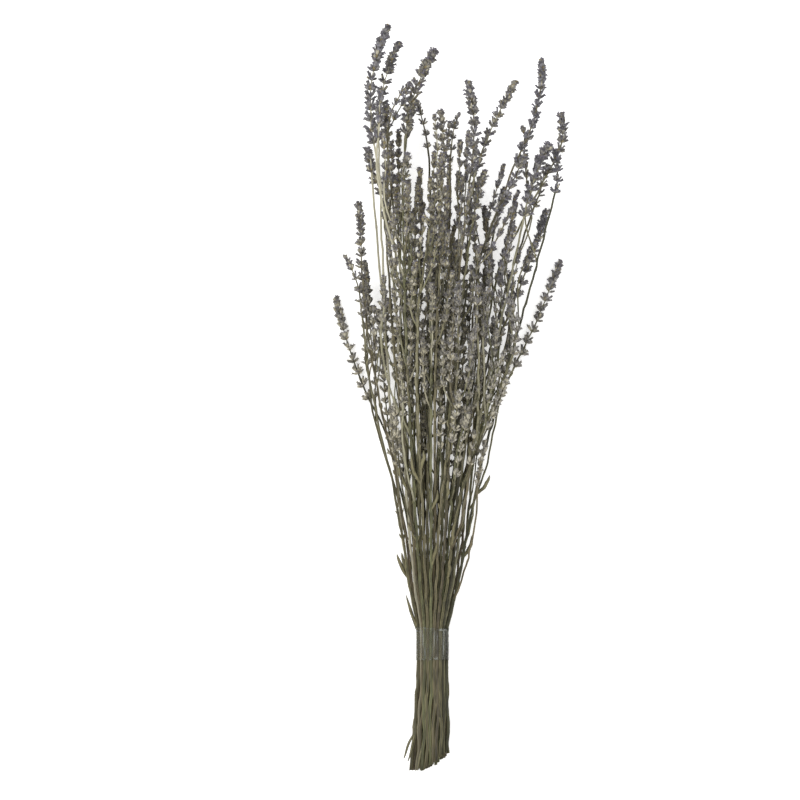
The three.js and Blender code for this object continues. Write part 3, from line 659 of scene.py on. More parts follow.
# Dark of dull stalks, dark patches and the cut ends, and the painted shade in the grooves between the
# ribs
STALK_DARK_AND_SHADE = "#201f13"
STALK_PALE = "#bdb8a0"
# Paler stalk up the bunch: partly the stalks' own greyer tops, partly painted light that lifts the shade
# among the flowers
STALK_GREY_TOP_AND_PAINTED_LIGHT = "#aea98b"
PITH = "#b7ad8c"
STALK_GREY_TOP_AND_PAINTED_LIGHT_Y, BUTT_Y, BLEACHED_Y = (-130, 40), (-300, -215), (-230, -60)
FIBRES, DARK_PATCHES, LIGHT_PATCHES = (0.35, 40, 2.2), (2.2, 9, 3.0), (2.9, 7, 3.0)
STALK_ROUGHNESS, FIBRE_STRENGTH, FIBRE_DEPTH = 0.62, 0.5, 0.0002

# How pale each stalk is, from 0 to 1, and the corner of the fan where all are bleached
COMMON_PALENESS, RARE_PALENESS, RARE_SHARE = (-0.05, 0.42), (0.5, 0.85), 0.2
BLEACHED_LEFT_OF, BLEACHED_ABOVE = -52, 150
LEAF_TONE, LEAF_PALENESS, LEAFLET_PALENESS, STRIP_PALENESS = 0.5, 0.32, (0.2, 0.6), 0.4

# Loose end of each strip torn off a stalk, as x, y and z, the height of its root and its width
TORN_STRIPS = (
    ((-37.2, -291, 17), -266, 2.0),
    ((-34.2, -293, 20), -264, 1.8),
    ((-31.4, -301, 11), -272, 2.2),
    ((-30.4, -297, 14), -270, 1.8),
    ((-26.0, -300, 24), -276, 1.8),
    ((-35.2, -158, 12), -190, 2.6),
    ((-33.8, -168, 20), -186, 2.0),
    ((3.4, -162, 14), -188, 2.2),
)
STALK_SEED = 5
stalk_draws = np.random.default_rng(STALK_SEED)


def hue(code):
    """A colour given as red, green and blue in hexadecimal, as the light that it reflects: the
    screen's curve turned back."""
    shares = np.array([int(code[i : i + 2], 16) for i in (1, 3, 5)]) / 255
    light = np.where(shares <= 0.04045, shares / 12.92, ((shares + 0.055) / 1.055) ** 2.4)
    return (*light.tolist(), 1.0)


def feed(tree, node, inputs):
    """Gives a node its inputs: values, colours as hexadecimal codes, or sockets to link to it."""
    for name, value in inputs.items():
        if isinstance(value, bpy.types.NodeSocket):
            tree.links.new(value, node.inputs[name])
        else:
            node.inputs[name].default_value = hue(value) if isinstance(value, str) else value


def add(tree, kind, inputs, **settings):
    """Puts a node in a tree, with its settings and inputs."""
    node = tree.nodes.new(kind)
    for name, value in settings.items():
        setattr(node, name, value)
    feed(tree, node, inputs)
    return node


def figured(tree, operation, *numbers, use_clamp=False):
    """One step of arithmetic on two or three numbers."""
    inputs = dict(enumerate(numbers))
    return add(tree, "ShaderNodeMath", inputs, operation=operation, use_clamp=use_clamp).outputs[0]


def ranged(tree, value, low, high, to_low=0.0, to_high=1.0):
    """A value's range from low to high, stretched over another."""
    inputs = {"Value": value, "From Min": low, "From Max": high, "To Min": to_low, "To Max": to_high}
    return add(tree, "ShaderNodeMapRange", inputs).outputs["Result"]


def mixed(tree, factor, first, second):
    """Two colours mixed by a factor from 0 to 1."""
    return add(tree, "ShaderNodeMix", {0: factor, 6: first, 7: second}, data_type="RGBA").outputs[2]


def layered(tree, colour, *layers):
    """A colour under layers, each given as a mask, a range of it, how much of the layer's colour
    is mixed in at the two ends of that range, and that colour."""
    for mask, ends, amounts, layer_colour in layers:
        colour = mixed(tree, ranged(tree, mask, *ends, *amounts), colour, layer_colour)
    return colour


def metres(lengths):
    """The same lengths in metres, given in millimetres."""
    return [length * MILLIMETRE for length in lengths]


def build_grain():
    """Uneven growth and dust: noise over the place on the piece, drawn out along the stalk by the
    given stretch, as a mask from 0 to 1."""
    group = bpy.data.node_groups.new("grain", "ShaderNodeTree")
    for name, value in (("Size", 0.002), ("Stretch", 1.0), ("Contrast", 1.0)):
        socket = group.interface.new_socket(name, in_out="INPUT", socket_type="NodeSocketFloat")
        socket.default_value = value
    group.interface.new_socket("Mask", in_out="OUTPUT", socket_type="NodeSocketFloat")
    given = group.nodes.new("NodeGroupInput").outputs
    place_on = add(group, "ShaderNodeTexCoord", {}).outputs["Object"]
    across = figured(group, "DIVIDE", 1.0, given["Size"])
    along = figured(group, "DIVIDE", across, given["Stretch"])
    scale = add(group, "ShaderNodeCombineXYZ", {"X": across, "Y": along, "Z": across}).outputs[0]
    spread = add(group, "ShaderNodeVectorMath", {0: place_on, 1: scale}, operation="MULTIPLY")
    noise = add(group, "ShaderNodeTexNoise", {"Vector": spread.outputs[0], "Scale": 1.0, "Detail": 3.0})
    centred = figured(group, "SUBTRACT", noise.outputs["Fac"], 0.5)
    mask = figured(group, "MULTIPLY_ADD", centred, given["Contrast"], 0.5, use_clamp=True)
    feed(group, group.nodes.new("NodeGroupOutput"), {"Mask": mask})
    return group


grain_group = build_grain()


def grain(tree, size, stretch_along, contrast):
    """The grain mask in a material; its size is in millimetres."""
    inputs = {"Size": size * MILLIMETRE, "Stretch": stretch_along, "Contrast": contrast}
    return add(tree, "ShaderNodeGroup", inputs, node_tree=grain_group).outputs["Mask"]


def height_on(tree):
    """How far up the bunch a point lies, in metres."""
    place_on = add(tree, "ShaderNodeTexCoord", {}).outputs["Object"]
    return add(tree, "ShaderNodeSeparateXYZ", {"Vector": place_on}).outputs["Y"]


def painted(tree):
    """The four numbers that a mesh carries in its growth attribute."""
    carried = add(tree, "ShaderNodeAttribute", {}, attribute_name="growth")
    parts = add(tree, "ShaderNodeSeparateColor", {"Color": carried.outputs["Color"]})
    return (*parts.outputs, carried.outputs["Alpha"])


def relief(tree, height, strength, depth):
    """Normals of a surface raised by a mask; the depth is in metres."""
    inputs = {"Height": height, "Strength": strength, "Distance": depth}
    return add(tree, "ShaderNodeBump", inputs).outputs["Normal"]


def empty_material(name):
    """A material with a Principled shader alone; returns it, its tree and the shader."""
    material = bpy.data.materials.new(name)
    material.use_nodes = True
    return material, material.node_tree, material.node_tree.nodes["Principled BSDF"]


def stalk_skin():
    """Dried stalk: the growth attribute holds rib, tone of the stem, paleness and pith."""
    material, tree, shader = empty_material("dried_stalk")
    rib, tone, pale, pith = painted(tree)
    height = height_on(tree)
    fibres = grain(tree, *FIBRES)
    ribs = mixed(tree, tone, OLIVE_RIB, BROWN_RIB)
    bleached_body = ranged(tree, height, *metres(BLEACHED_Y), 0.3, 1.0)
    bleached_ribs = ranged(tree, height, *metres(BLEACHED_Y), 0.1, 0.75)
    aged_with_painted_light = layered(
        tree,
        mixed(tree, tone, STALK_OLIVE, STALK_BROWN),
        # paler up the bunch: partly its own greyer top, partly painted light against the shade among the
        # flowers
        (height, metres(STALK_GREY_TOP_AND_PAINTED_LIGHT_Y), (0.0, 0.75), STALK_GREY_TOP_AND_PAINTED_LIGHT),
        (pale, (0.0, 0.3), (0.8, 0.0), STALK_DARK_AND_SHADE),
        (pale, (0.3, 1.0), (0.0, bleached_body), STALK_PALE),
        (grain(tree, *LIGHT_PATCHES), (0.55, 0.8), (0.0, 0.6), ribs),
        (grain(tree, *DARK_PATCHES), (0.55, 0.75), (0.0, 0.9), STALK_DARK_AND_SHADE),
        (height, metres(BUTT_Y), (0.6, 0.15), STALK_DARK_AND_SHADE),
        # the flat faces between the corner ribs are darkened: painted shade in the grooves
        (rib, (0.0, 0.5), (0.75, 0.0), STALK_DARK_AND_SHADE),
        (rib, (0.55, 1.0), (0.0, 0.55), ribs),
        (fibres, (0.2, 0.9), (0.0, 0.4), ribs),
        (pale, (0.55, 1.0), (0.0, bleached_ribs), STALK_PALE),
        (pale, (-0.05, 0.14), (0.6, 0.0), STALK_DARK_AND_SHADE),
    )
    fibrous = relief(tree, fibres, FIBRE_STRENGTH, FIBRE_DEPTH)
    colour = mixed(tree, pith, aged_with_painted_light, PITH)
    feed(tree, shader, {"Base Color": colour, "Roughness": STALK_ROUGHNESS, "Normal": fibrous})
    return material


def frames_on(axis, y):
    """Places on an axis, with the unit vectors ahead along it, right of it and level, and up. What
    the film doesn't hold sways a little, by the sum of two sines of its place, a long and a short
    one; the stalks below the tie sway more."""
    x, y, z, slope_x, slope_z = on_axis(axis, y)
    free = np.clip((np.abs(y - TIE_Y) - TIE_WIDTH / 2) / SWAY_GROWTH, 0, 1)
    phase = x / SWAY_SCALE[0] + z / SWAY_SCALE[1]
    long_sway = np.sin(y / SWAY_LENGTHS[0] + phase)
    short_sway = SHORT_SWAY * np.sin(y / SWAY_LENGTHS[1] + 2 * phase)
    x = x + free * (SWAY + BUTT_SWAY * (y < TIE_Y)) * (long_sway + short_sway)
    ahead = np.stack([slope_x, np.ones_like(x), slope_z], -1)
    ahead /= np.linalg.norm(ahead, axis=-1, keepdims=True)
    right = np.cross(ahead, (0.0, 0.0, 1.0))
    right /= np.linalg.norm(right, axis=-1, keepdims=True)
    return np.stack([x, y, z], -1), ahead, right, np.cross(right, ahead)


def tube_faces(rings, sides):
    """Quads between rings of corners, and the triangles that close the first ring on the corner
    before it and the last ring on the corner after it."""
    ring, side = np.meshgrid(np.arange(rings - 1), np.arange(sides), indexing="ij")
    after = (side + 1) % sides
    below, above = 1 + ring * sides, 1 + (ring + 1) * sides
    quads = np.stack([below + side, below + after, above + after, above + side], -1).reshape(-1, 4)
    side, after = side[0], after[0]
    last = 1 + (rings - 1) * sides
    root = np.stack([np.zeros_like(side), 1 + after, 1 + side], -1)
    end = np.stack([np.full_like(side, last + sides), last + side, last + after], -1)
    return quads.tolist() + root.tolist() + end.tolist()


def carried_along(axis, y, across, lift, push):
    """A section carried along an axis: corner k of ring j stands across[j, k] right of the axis,
    lift[j, k] above it and push[j, k] ahead. The ends close on a corner on the axis."""
    middle, ahead, right, up = (vectors[:, None] for vectors in frames_on(axis, y))
    corners = middle + across[..., None] * right + lift[..., None] * up + push[..., None] * ahead
    return np.concatenate([middle[0], corners.reshape(-1, 3), middle[-1]])


def spread_paint(rings, sides, *channels):
    """Growth attribute of a tube: each channel is a number or an array over rings and sides, and
    the corners on the axis take what the ring next to them has."""
    whole = [np.broadcast_to(np.asarray(c, float), (rings, sides)) for c in channels]
    paint = np.stack(whole, -1).reshape(-1, len(channels))
    return np.concatenate([paint[:1], paint, paint[-1:]])


def joint_places(low, high):
    """Where a stalk's joints are, from its lower end up: drawn steps added up."""
    steps = np.cumsum(stalk_draws.uniform(*JOINT_SPACING, MOST_JOINTS))
    return low + steps[low + steps < high]


def stalk_mesh(stem, tone, pale):
    """A stalk with its spike's core: rings RING_SPACING apart and close together at each joint. The
    half side is half the stalk's width, times one plus a bell curve at each joint. The section is
    that times one plus 0.38 c and a rib's sixth power of c, where c = (1 - cos 4a) / 2."""
    low, foot, high = stem["axis"][0, 0], stem["foot_y"], stem["tip_y"]
    joints = joint_places(low, foot - JOINTS_BELOW_SPIKE)
    near = (joints[:, None] + JOINT_HALF_LENGTH * np.array([-2, -1, 0, 1, 2])).ravel()
    even = np.linspace(low, high - CORE_BELOW_TIP, int((high - low) / RING_SPACING) + 2)
    y = np.unique(np.concatenate([even, near[(near > low + 1) & (near < foot)]]))
    y = np.concatenate([y[:1], y])
    swell = np.exp(-(((y[:, None] - joints) / JOINT_HALF_LENGTH) ** 2)).sum(1) * JOINT_SWELL
    taper = stalk_side(stem, np.minimum(y, foot))
    core = np.clip((y - foot) / (high - foot), 0, 1)
    half = (taper + (TIP_SIDE - taper) * core) * (1 + swell) / 2
    angle = 2 * np.pi * np.arange(STALK_SIDES) / STALK_SIDES
    corner = (1 - np.cos(4 * angle)) / 2
    radii = half[:, None] * (1 + CORNER_HEIGHT * corner + RIB_HEIGHT * corner**RIB_SHARPNESS)
    radii[0] *= CUT_NARROWING
    push = np.zeros_like(radii)
    push[:2] = CUT_TILT * half[0] * np.sin(angle)
    pith = np.zeros_like(radii)
    pith[0] = 1
    points = carried_along(stem["axis"], y, radii * np.sin(angle), radii * np.cos(angle), push)
    paint = spread_paint(len(y), STALK_SIDES, corner, tone, pale, pith)
    return points, tube_faces(len(y), STALK_SIDES), paint


def blade_mesh(axis, width, thickness, tone, pale):
    """A narrow leaf or strip with rolled edges: an ellipse carried along its axis, as wide as the
    sine of pi times the way along it, to the power BLADE_POWER; both edges are bent down by the
    square of their place across, times BLADE_ROLL of the half width."""
    y = axis[0, 0] + (axis[-1, 1] - axis[0, 0]) * np.linspace(*BLADE_RUN, BLADE_RINGS)
    angle = 2 * np.pi * np.arange(BLADE_SIDES) / BLADE_SIDES
    wide = width / 2 * np.sin(np.pi * np.linspace(*BLADE_SINE, BLADE_RINGS)[:, None]) ** BLADE_POWER
    edge = np.cos(angle) ** 2
    lift = thickness / 2 * np.sin(angle) - BLADE_ROLL * wide * edge
    points = carried_along(axis, y, wide * np.cos(angle), lift, 0 * lift)
    paint = spread_paint(BLADE_RINGS, BLADE_SIDES, 1 - BLADE_VEIN * edge, tone, pale, 0.0)
    return points, tube_faces(BLADE_RINGS, BLADE_SIDES), paint


def joined(meshes):
    """Several meshes' points, faces and paint as one mesh's."""
    points, faces, paint, count = [], [], [], 0
    for some_points, some_faces, some_paint in meshes:
        points.append(some_points)
        faces.extend([i + count for i in face] for face in some_faces)
        paint.append(some_paint)
        count += len(some_points)
    return np.concatenate(points), faces, np.concatenate(paint)


def make_piece(name, points, faces, paint, material, slot):
    """A mesh object from points in millimetres, with its growth attribute; it rides on the bunch.
    What lies on the table is pressed flat by it."""
    mesh = bpy.data.meshes.new(name)
    points[:, 2] = np.maximum(points[:, 2], 0)
    mesh.from_pydata((points * MILLIMETRE).tolist(), [], faces)
    growth = mesh.attributes.new("growth", "FLOAT_COLOR", "POINT")
    growth.data.foreach_set("color", paint.astype(np.float32).ravel())
    mesh.polygons.foreach_set("use_smooth", np.ones(len(mesh.polygons), bool))
    mesh.materials.append(material)
    piece = bpy.data.objects.new(name, mesh)
    bpy.context.collection.objects.link(piece)
    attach(piece, "root")
    return piece


def drawn_paleness(part):
    """A few stalks are pale, the others dull, and those in the bleached corner are white."""
    pale = stalk_draws.uniform(*COMMON_PALENESS)
    if stalk_draws.uniform() < RARE_SHARE:
        pale = stalk_draws.uniform(*RARE_PALENESS)
    foot_x = on_axis(part["axis"], part["foot_y"])[0]
    return 1.0 if foot_x < BLEACHED_LEFT_OF and part["foot_y"] > BLEACHED_ABOVE else pale


def leaflets(stem):
    """Axes and widths of small withered leaves, in opposite pairs at some of a stalk's lower
    joints; each is a cubic that leaves the stalk steeply and then runs beside it."""
    made = []
    for root_y in joint_places(*LEAFLET_Y):
        if stalk_draws.uniform() > LEAFLET_SHARE:
            continue
        turn = stalk_draws.uniform(0, 2 * np.pi)
        for side in (0, np.pi):
            length, reach = stalk_draws.uniform(*LEAFLET_LENGTH), stalk_draws.uniform(*LEAFLET_REACH)
            root, end = on_axis(stem["axis"], root_y), on_axis(stem["axis"], root_y + length)
            aside = np.array([reach * math.cos(turn + side), reach * math.sin(turn + side)])
            tip = (end[0] + aside[0], end[1], max(end[2] + aside[1], LEAFLET_LOWEST))
            at_root, at_tip = (share * aside / length for share in LEAFLET_SLOPES)
            axis = stretch((*root[:3], *at_root), (*tip, *at_tip))
            made.append((axis, stalk_draws.uniform(*LEAFLET_WIDTH)))
    return made


def torn_from(loose, root_y):
    """The stem that passes nearest to a strip's loose end, at the height of its root, and the
    strip's axis: a cubic between the two with STRIP_SLOPE times its mean slope at both ends."""
    roots = [on_axis(stem["axis"], root_y)[:3] for stem in stems]
    host = int(np.argmin([math.hypot(x - loose[0], z - loose[2]) for x, _y, z in roots]))
    slopes = (STRIP_SLOPE * (loose[0] - roots[host][0]) / (loose[1] - root_y), 0)
    ends = sorted(((*loose, *slopes), (*roots[host], *slopes)), key=lambda end: end[1])
    return stems[host], stretch(*ends)


stalk_material = stalk_skin()
for stem in stems:
    stem["strips"] = []
for loose, root_y, width in TORN_STRIPS:
    host, axis = torn_from(loose, root_y)
    host["strips"].append((axis, width))
for number, stem in enumerate(stems, 1):
    parts = []
    for part in [stem, *stem["shoots"], *stem["branches"]]:
        tone = stalk_draws.uniform(0, 1)
        parts.append(stalk_mesh(part, tone, drawn_paleness(part)))
    for leaf in stem["leaves"]:
        parts.append(blade_mesh(leaf["axis"], LEAF_WIDTH, LEAF_THICKNESS, LEAF_TONE, LEAF_PALENESS))
    for axis, width in leaflets(stem):
        pale = stalk_draws.uniform(*LEAFLET_PALENESS)
        parts.append(blade_mesh(axis, width, LEAFLET_THICKNESS, LEAF_TONE, pale))
    for axis, width in stem["strips"]:
        parts.append(blade_mesh(axis, width, STRIP_THICKNESS, LEAF_TONE, STRIP_PALENESS))
    make_piece(f"stem_{number:02d}_stalk", *joined(parts), stalk_material, "dry_stalk")

# Flowers. Every whorl is a ring of ribbed, felted tubes, the calyces, with the shrivelled
# petals in the mouths of some and two papery bracts below. They dried a dark violet grey,
# olive where the light reached them less, and they are paler lower down. The furrows between
# the calyces' ribs, the hollows of their mouths and patches over the spikes carry painted shade.
SPIKE_SLOTS = ("spike_violet", "spike_grey", "spike_olive")
SPIKE_TONES = (0.05, 0.5, 0.95)
OWN_TONE, PLACE_TONE = 0.3, 0.7
OLIVE_X, OLIVE_WIDTH, OLIVE_FADE_Y = -27, 38, (155, 235)
WHORL_HEIGHT, WHORL_SHARE, WHORL_UNEVEN, CROWDING = 6.2, 0.74, 0.12, 0.3
DENSE_FROM, BETWEEN_RADIUS, FULLER_TIP = 0.62, 0.8, 0.2
DETACHED_BELOW, DETACHED_RADIUS, DETACHED_SHARE = (13.0, 29.0), 0.85, 0.7
OPEN_SPREAD, CROWDED_SPREAD, CROWDED_Y = 1.4, 0.8, (88, 180)
CALYCES_LEAST, CALYCES_PER_RADIUS, CALYX_LOST = 4.0, 1.25, 0.06
SPRAY_FAN, TURN_UNEVEN = 2.9, 0.16

# Calyces, petals and bracts: each profile is a list of places along the form and the radius
# there, as shares, and ends are the places on its axis where it closes
CALYX_LENGTH, CALYX_RADIUS, CALYX_ROOT, CALYX_CURVE = 5.3, 0.98, 0.55, 0.35
CALYX_PROFILE, CALYX_ENDS = ((0.0, 0.36), (0.5, 1.0), (1.0, 0.86)), (-0.04, 0.78)
CALYX_SIDES, CALYX_RIB, CALYX_TOOTH = 6, 0.1, 0.07
CALYX_GROWN, CALYX_IN_SMALL_WHORL = (0.82, 1.12), (0.72, 1.0)
PETAL_LENGTH, PETAL_RADIUS, PETALS_KEPT = 2.3, 1.15, 0.42
PETAL_PROFILE, PETAL_ENDS = ((0.3, 0.5), (0.8, 1.0)), (0.0, 0.4)
PETAL_SIDES, PETAL_RIB, PETAL_TOOTH, PETAL_CRUMPLE = 6, 0.3, 0.18, (0.6, 1.15)
MOUTH_ALONG, MOUTH_ASIDE, MOUTH_INSIDE = 0.86, 0.3, 1.3
BRACT_LENGTH, BRACT_HALF_WIDTH, BRACT_ROOT = 3.9, 1.5, 0.4
BRACT_PROFILE, BRACT_ENDS = ((0.05, 0.35), (0.45, 1.0)), (0.0, 1.0)
BRACT_SIDES, BRACT_FLATNESS = 4, 0.08
BRACT_LEAN, BRACT_GROWN = (0.5, 0.95), (0.75, 1.1)
CALYX_KIND, BRACT_KIND, PETAL_KIND = 0.0, 0.5, 1.0

# From the lowest calyx of a whorl to the highest: length, root as a share of the whorl's
# height, and reach as a share of its radius; and from the spike's tip to TIP_FOLD below it:
# how long the calyces are and how far they lean out
HIGHER_LENGTH, HIGHER_ROOT, HIGHER_REACH = (0.82, 1.08), (-0.08, 0.42), (1.06, 0.56)
REACH_UNEVEN, LEAST_LEAN, MOST_LEAN = (0.85, 1.05), 0.1, 0.92
TIP_FOLD, TIP_OVER, FOLDED_LENGTH, FOLDED_LEAN = 9.0, -0.8, (0.7, 1.0), (0.3, 1.0)
TONE_UNEVEN, PALE_CALYCES, PALER_OLIVE, PALE_TONE = 0.18, 0.05, 0.2, 2

CALYX_VIOLET, CALYX_OLIVE = "#6f6d7a", "#8f8559"
# The calyces' darker teeth, and the painted shade in their furrows, in their hollow mouths and in shaded
# patches
CALYX_FOOT, CALYX_MOUTH_AND_SHADE = "#958b6c", "#3c3a3d"
CALYX_BLOOM, CALYX_PALE = "#c0bfb8", "#cdc6ae"
PETAL_COLOUR, BRACT_COLOUR = "#5a5364", "#8a7a5c"
# Heights between which the flowers turn paler downwards
PALER_BELOW_Y = (-20, 120)
FELT, SHADED_PATCHES = (0.5, 1, 3.0), (4.0, 1, 3.0)
FELT_ROUGHNESS, FELT_SHEEN, SHEEN_ROUGHNESS = 0.88, 0.25, 0.5
FELT_STRENGTH, FELT_DEPTH = 0.4, 0.0002
FLOWER_MAP, CHART_RIM = "OFBake", 0.04
FLOWER_SEED = 23
flower_draws = np.random.default_rng(FLOWER_SEED)


def closed_form(profile, sides, ends, rib=0.0, tooth=0.0, flat=1.0, kind=CALYX_KIND):
    """A small closed form along Z: corner k of a ring has the profile's radius times
    1 + rib (-1)^k, the last ring stands tooth (-1)^k further along, and flat presses it along Y.
    With it come its paint (way along, rib, tone, kind) and a chart of its faces, unrolled on the
    unit square; where its far end closes inside the rim, the way along ends at MOUTH_INSIDE."""
    along, radius = np.array(profile).T
    angle = 2 * np.pi * np.arange(sides) / sides
    turn = np.where(np.arange(sides) % 2, -1.0, 1.0)
    wide = radius[:, None] * (1 + rib * turn)
    height = np.repeat(along[:, None], sides, 1)
    height[-1] += tooth * turn
    corners = np.stack([wide * np.cos(angle), flat * wide * np.sin(angle), height], -1).reshape(-1, 3)
    points = np.concatenate([[(0, 0, ends[0])], corners, [(0, 0, ends[1])]])
    ridge = np.concatenate([[0.5], np.tile((1 + turn) / 2, len(profile)), [0.0]])
    last_way = MOUTH_INSIDE if ends[1] < along[-1] else 1.0
    way = np.concatenate([[0.0], np.repeat(along, sides), [last_way]])
    paint = np.stack([way, ridge, np.zeros_like(way), np.full_like(way, kind)], -1)
    levels = np.arange(len(profile) + 2) / (len(profile) + 1)
    spans = [(side / sides, (side + 1) / sides) for side in range(sides)]
    chart = []
    for low, high in zip(levels[1:-2], levels[2:-1]):
        for left, right in spans:
            chart += [(left, low), (right, low), (right, high), (left, high)]
    for left, right in spans:
        chart += [((left + right) / 2, 0), (right, levels[1]), (left, levels[1])]
    for left, right in spans:
        chart += [((left + right) / 2, 1), (left, levels[-2]), (right, levels[-2])]
    return points, tube_faces(len(profile), sides), paint, np.array(chart)


CALYX = closed_form(CALYX_PROFILE, CALYX_SIDES, CALYX_ENDS, CALYX_RIB, CALYX_TOOTH)
PETALS = closed_form(PETAL_PROFILE, PETAL_SIDES, PETAL_ENDS, PETAL_RIB, PETAL_TOOTH, kind=PETAL_KIND)
BRACT = closed_form(BRACT_PROFILE, BRACT_SIDES, BRACT_ENDS, flat=BRACT_FLATNESS, kind=BRACT_KIND)


def scattered(form, roots, ways, sizes, tones, curve=0.0):
    """Copies of a small form: each corner goes to root + sizes times its three coordinates along
    the three unit vectors of ways, and is bent aside by curve times the square of the way along."""
    points, faces, paint, chart = form
    bent = points.copy()
    bent[:, 0] += curve * points[:, 2] ** 2
    copies = roots[:, None] + np.einsum("mk,nkj->nmj", bent, ways * sizes[:, :, None])
    count, corners = len(roots), len(points)
    all_faces = [[i + n * corners for i in face] for n in range(count) for face in faces]
    all_paint = np.tile(paint, (count, 1)).reshape(count, corners, 4)
    all_paint[:, :, 2] = tones[:, None]
    return copies.reshape(-1, 3), all_faces, all_paint.reshape(-1, 4), np.tile(chart, (count, 1, 1))


def whorls_of(stem, spread):
    """Base, radius and height of each whorl of a spike. The bases are wider apart at its foot: at
    k (1 + CROWDING (1 - k)) of its length, for even steps of k. Between the upper ones stand
    smaller ones, so the tip is one dense head. A held stem has up to two whorls by themselves
    lower down, unless its calyces are spread wide."""
    k = np.arange(stem["whorls"] + 1) / stem["whorls"]
    share = k * (1 + CROWDING * (1 - k))
    base = stem["foot_y"] + (stem["tip_y"] - stem["foot_y"]) * share
    height = np.minimum(WHORL_HEIGHT * stem["size"], WHORL_SHARE * np.diff(base))
    radius = whorl_radius(stem, share[:-1]) * (1 + FULLER_TIP * share[:-1])
    radius = radius * (1 + WHORL_UNEVEN * flower_draws.uniform(-1, 1, len(radius)))
    upper = share[:-1] > DENSE_FROM
    between_base = (base[:-1] + np.diff(base) / 2)[upper]
    below = np.array(DETACHED_BELOW)
    below = below[flower_draws.uniform(size=len(below)) < DETACHED_SHARE]
    if stem["root_side"] != STALK_SIDE_CUT or spread > 1:
        below = below[:0]
    whole = WHORL_RADIUS * stem["size"] * DETACHED_RADIUS
    base = np.concatenate([base[:-1], between_base, stem["foot_y"] - below])
    radius = np.concatenate([radius, BETWEEN_RADIUS * radius[upper], np.full(len(below), whole)])
    height = np.concatenate([height, height[upper], np.full(len(below), height[0])])
    return base, radius, height


def leaning(axis, y, turn, lean):
    """Unit vectors of forms that leave an axis at y, turned round it and leaning out by lean: the
    third is along the form, the first bends it up again, and the second is across."""
    middle, ahead, right, up = frames_on(axis, y)
    out = np.cos(turn)[:, None] * up + np.sin(turn)[:, None] * right
    along = np.cos(lean)[:, None] * ahead + np.sin(lean)[:, None] * out
    inward = np.cos(lean)[:, None] * -out + np.sin(lean)[:, None] * ahead
    return middle, out, np.stack([inward, np.cross(along, inward), along], 1)


def calyx_turns(radius, spread):
    """Whorl and turn round the stalk of each calyx, and the first whorl's turn. A whorl of radius
    R has about 4 + 1.25 R of them, times the spread, in two opposite sprays that fan out by
    SPRAY_FAN; each whorl is turned by a quarter against the last."""
    count = np.round(spread * (CALYCES_LEAST + CALYCES_PER_RADIUS * radius)).astype(int)
    whorl = np.repeat(np.arange(len(radius)), count)
    order = np.arange(len(whorl)) - np.repeat(np.cumsum(count) - count, count)
    kept = flower_draws.uniform(size=len(whorl)) > CALYX_LOST
    whorl, order = whorl[kept], order[kept]
    spray = order % 2
    fan = (order // 2 + 0.5) / np.ceil(count[whorl] / 2) - 0.5
    start = flower_draws.uniform(0, 2 * np.pi)
    turn = start + whorl * np.pi / 2 + spray * np.pi + fan * SPRAY_FAN
    return whorl, turn + flower_draws.normal(0, TURN_UNEVEN, len(whorl)), start


def graded(ends, share):
    """A value that goes evenly from one end to the other."""
    return ends[0] + (ends[1] - ends[0]) * share


def grown_calyces(stem, tone, spread, whorls, whorl, turn):
    """Roots, ways, sizes and tones of a spike's calyces. In a whorl of radius R the lower ones are
    shorter and lean out until their mouths are R times the spread from the stalk, and the higher
    ones stand up; near the spike's tip all are shorter and fold up round it."""
    base, radius, height = whorls
    total = len(whorl)
    grown_by = stem["size"] * flower_draws.uniform(*CALYX_GROWN, total)
    grown_by *= graded(CALYX_IN_SMALL_WHORL, radius[whorl] / radius.max())
    higher = flower_draws.uniform(size=total)
    y = base[whorl] + height[whorl] * graded(HIGHER_ROOT, higher)
    folded = np.clip((stem["tip_y"] - y) / TIP_FOLD, 0, 1)
    length = CALYX_LENGTH * grown_by * graded(HIGHER_LENGTH, higher) * graded(FOLDED_LENGTH, folded)
    reach = spread * radius[whorl] * graded(HIGHER_REACH, higher)
    reach *= flower_draws.uniform(*REACH_UNEVEN, total)
    lean = np.arcsin(np.clip((reach - CALYX_ROOT) / length, LEAST_LEAN, MOST_LEAN))
    lean *= graded(FOLDED_LEAN, folded)
    y = np.minimum(y, stem["tip_y"] + TIP_OVER - length * np.cos(lean))
    middle, out, ways = leaning(stem["axis"], y, turn, lean)
    thick = CALYX_RADIUS * grown_by
    tones = np.clip(tone + flower_draws.normal(0, TONE_UNEVEN, total), 0, 1)
    tones[flower_draws.uniform(size=total) < PALE_CALYCES + PALER_OLIVE * tone] = PALE_TONE
    return middle + CALYX_ROOT * out, ways, np.stack([thick, thick, length], -1), tones


def petals_in(stem, roots, ways, sizes, tones):
    """The crumpled petals in the mouths of some calyces, which are at MOUTH_ALONG of their length
    and, as they bend, at MOUTH_ASIDE of their radius to the side."""
    kept = np.nonzero(flower_draws.uniform(size=len(roots)) < PETALS_KEPT)[0]
    mouths = roots[kept] + MOUTH_ALONG * sizes[kept, 2:] * ways[kept, 2]
    mouths += MOUTH_ASIDE * sizes[kept, :1] * ways[kept, 0]
    crumple = flower_draws.uniform(*PETAL_CRUMPLE, (len(kept), 3))
    petal_sizes = crumple * (PETAL_RADIUS, PETAL_RADIUS, PETAL_LENGTH) * stem["size"]
    return scattered(PETALS, mouths, ways[kept], petal_sizes, tones[kept])


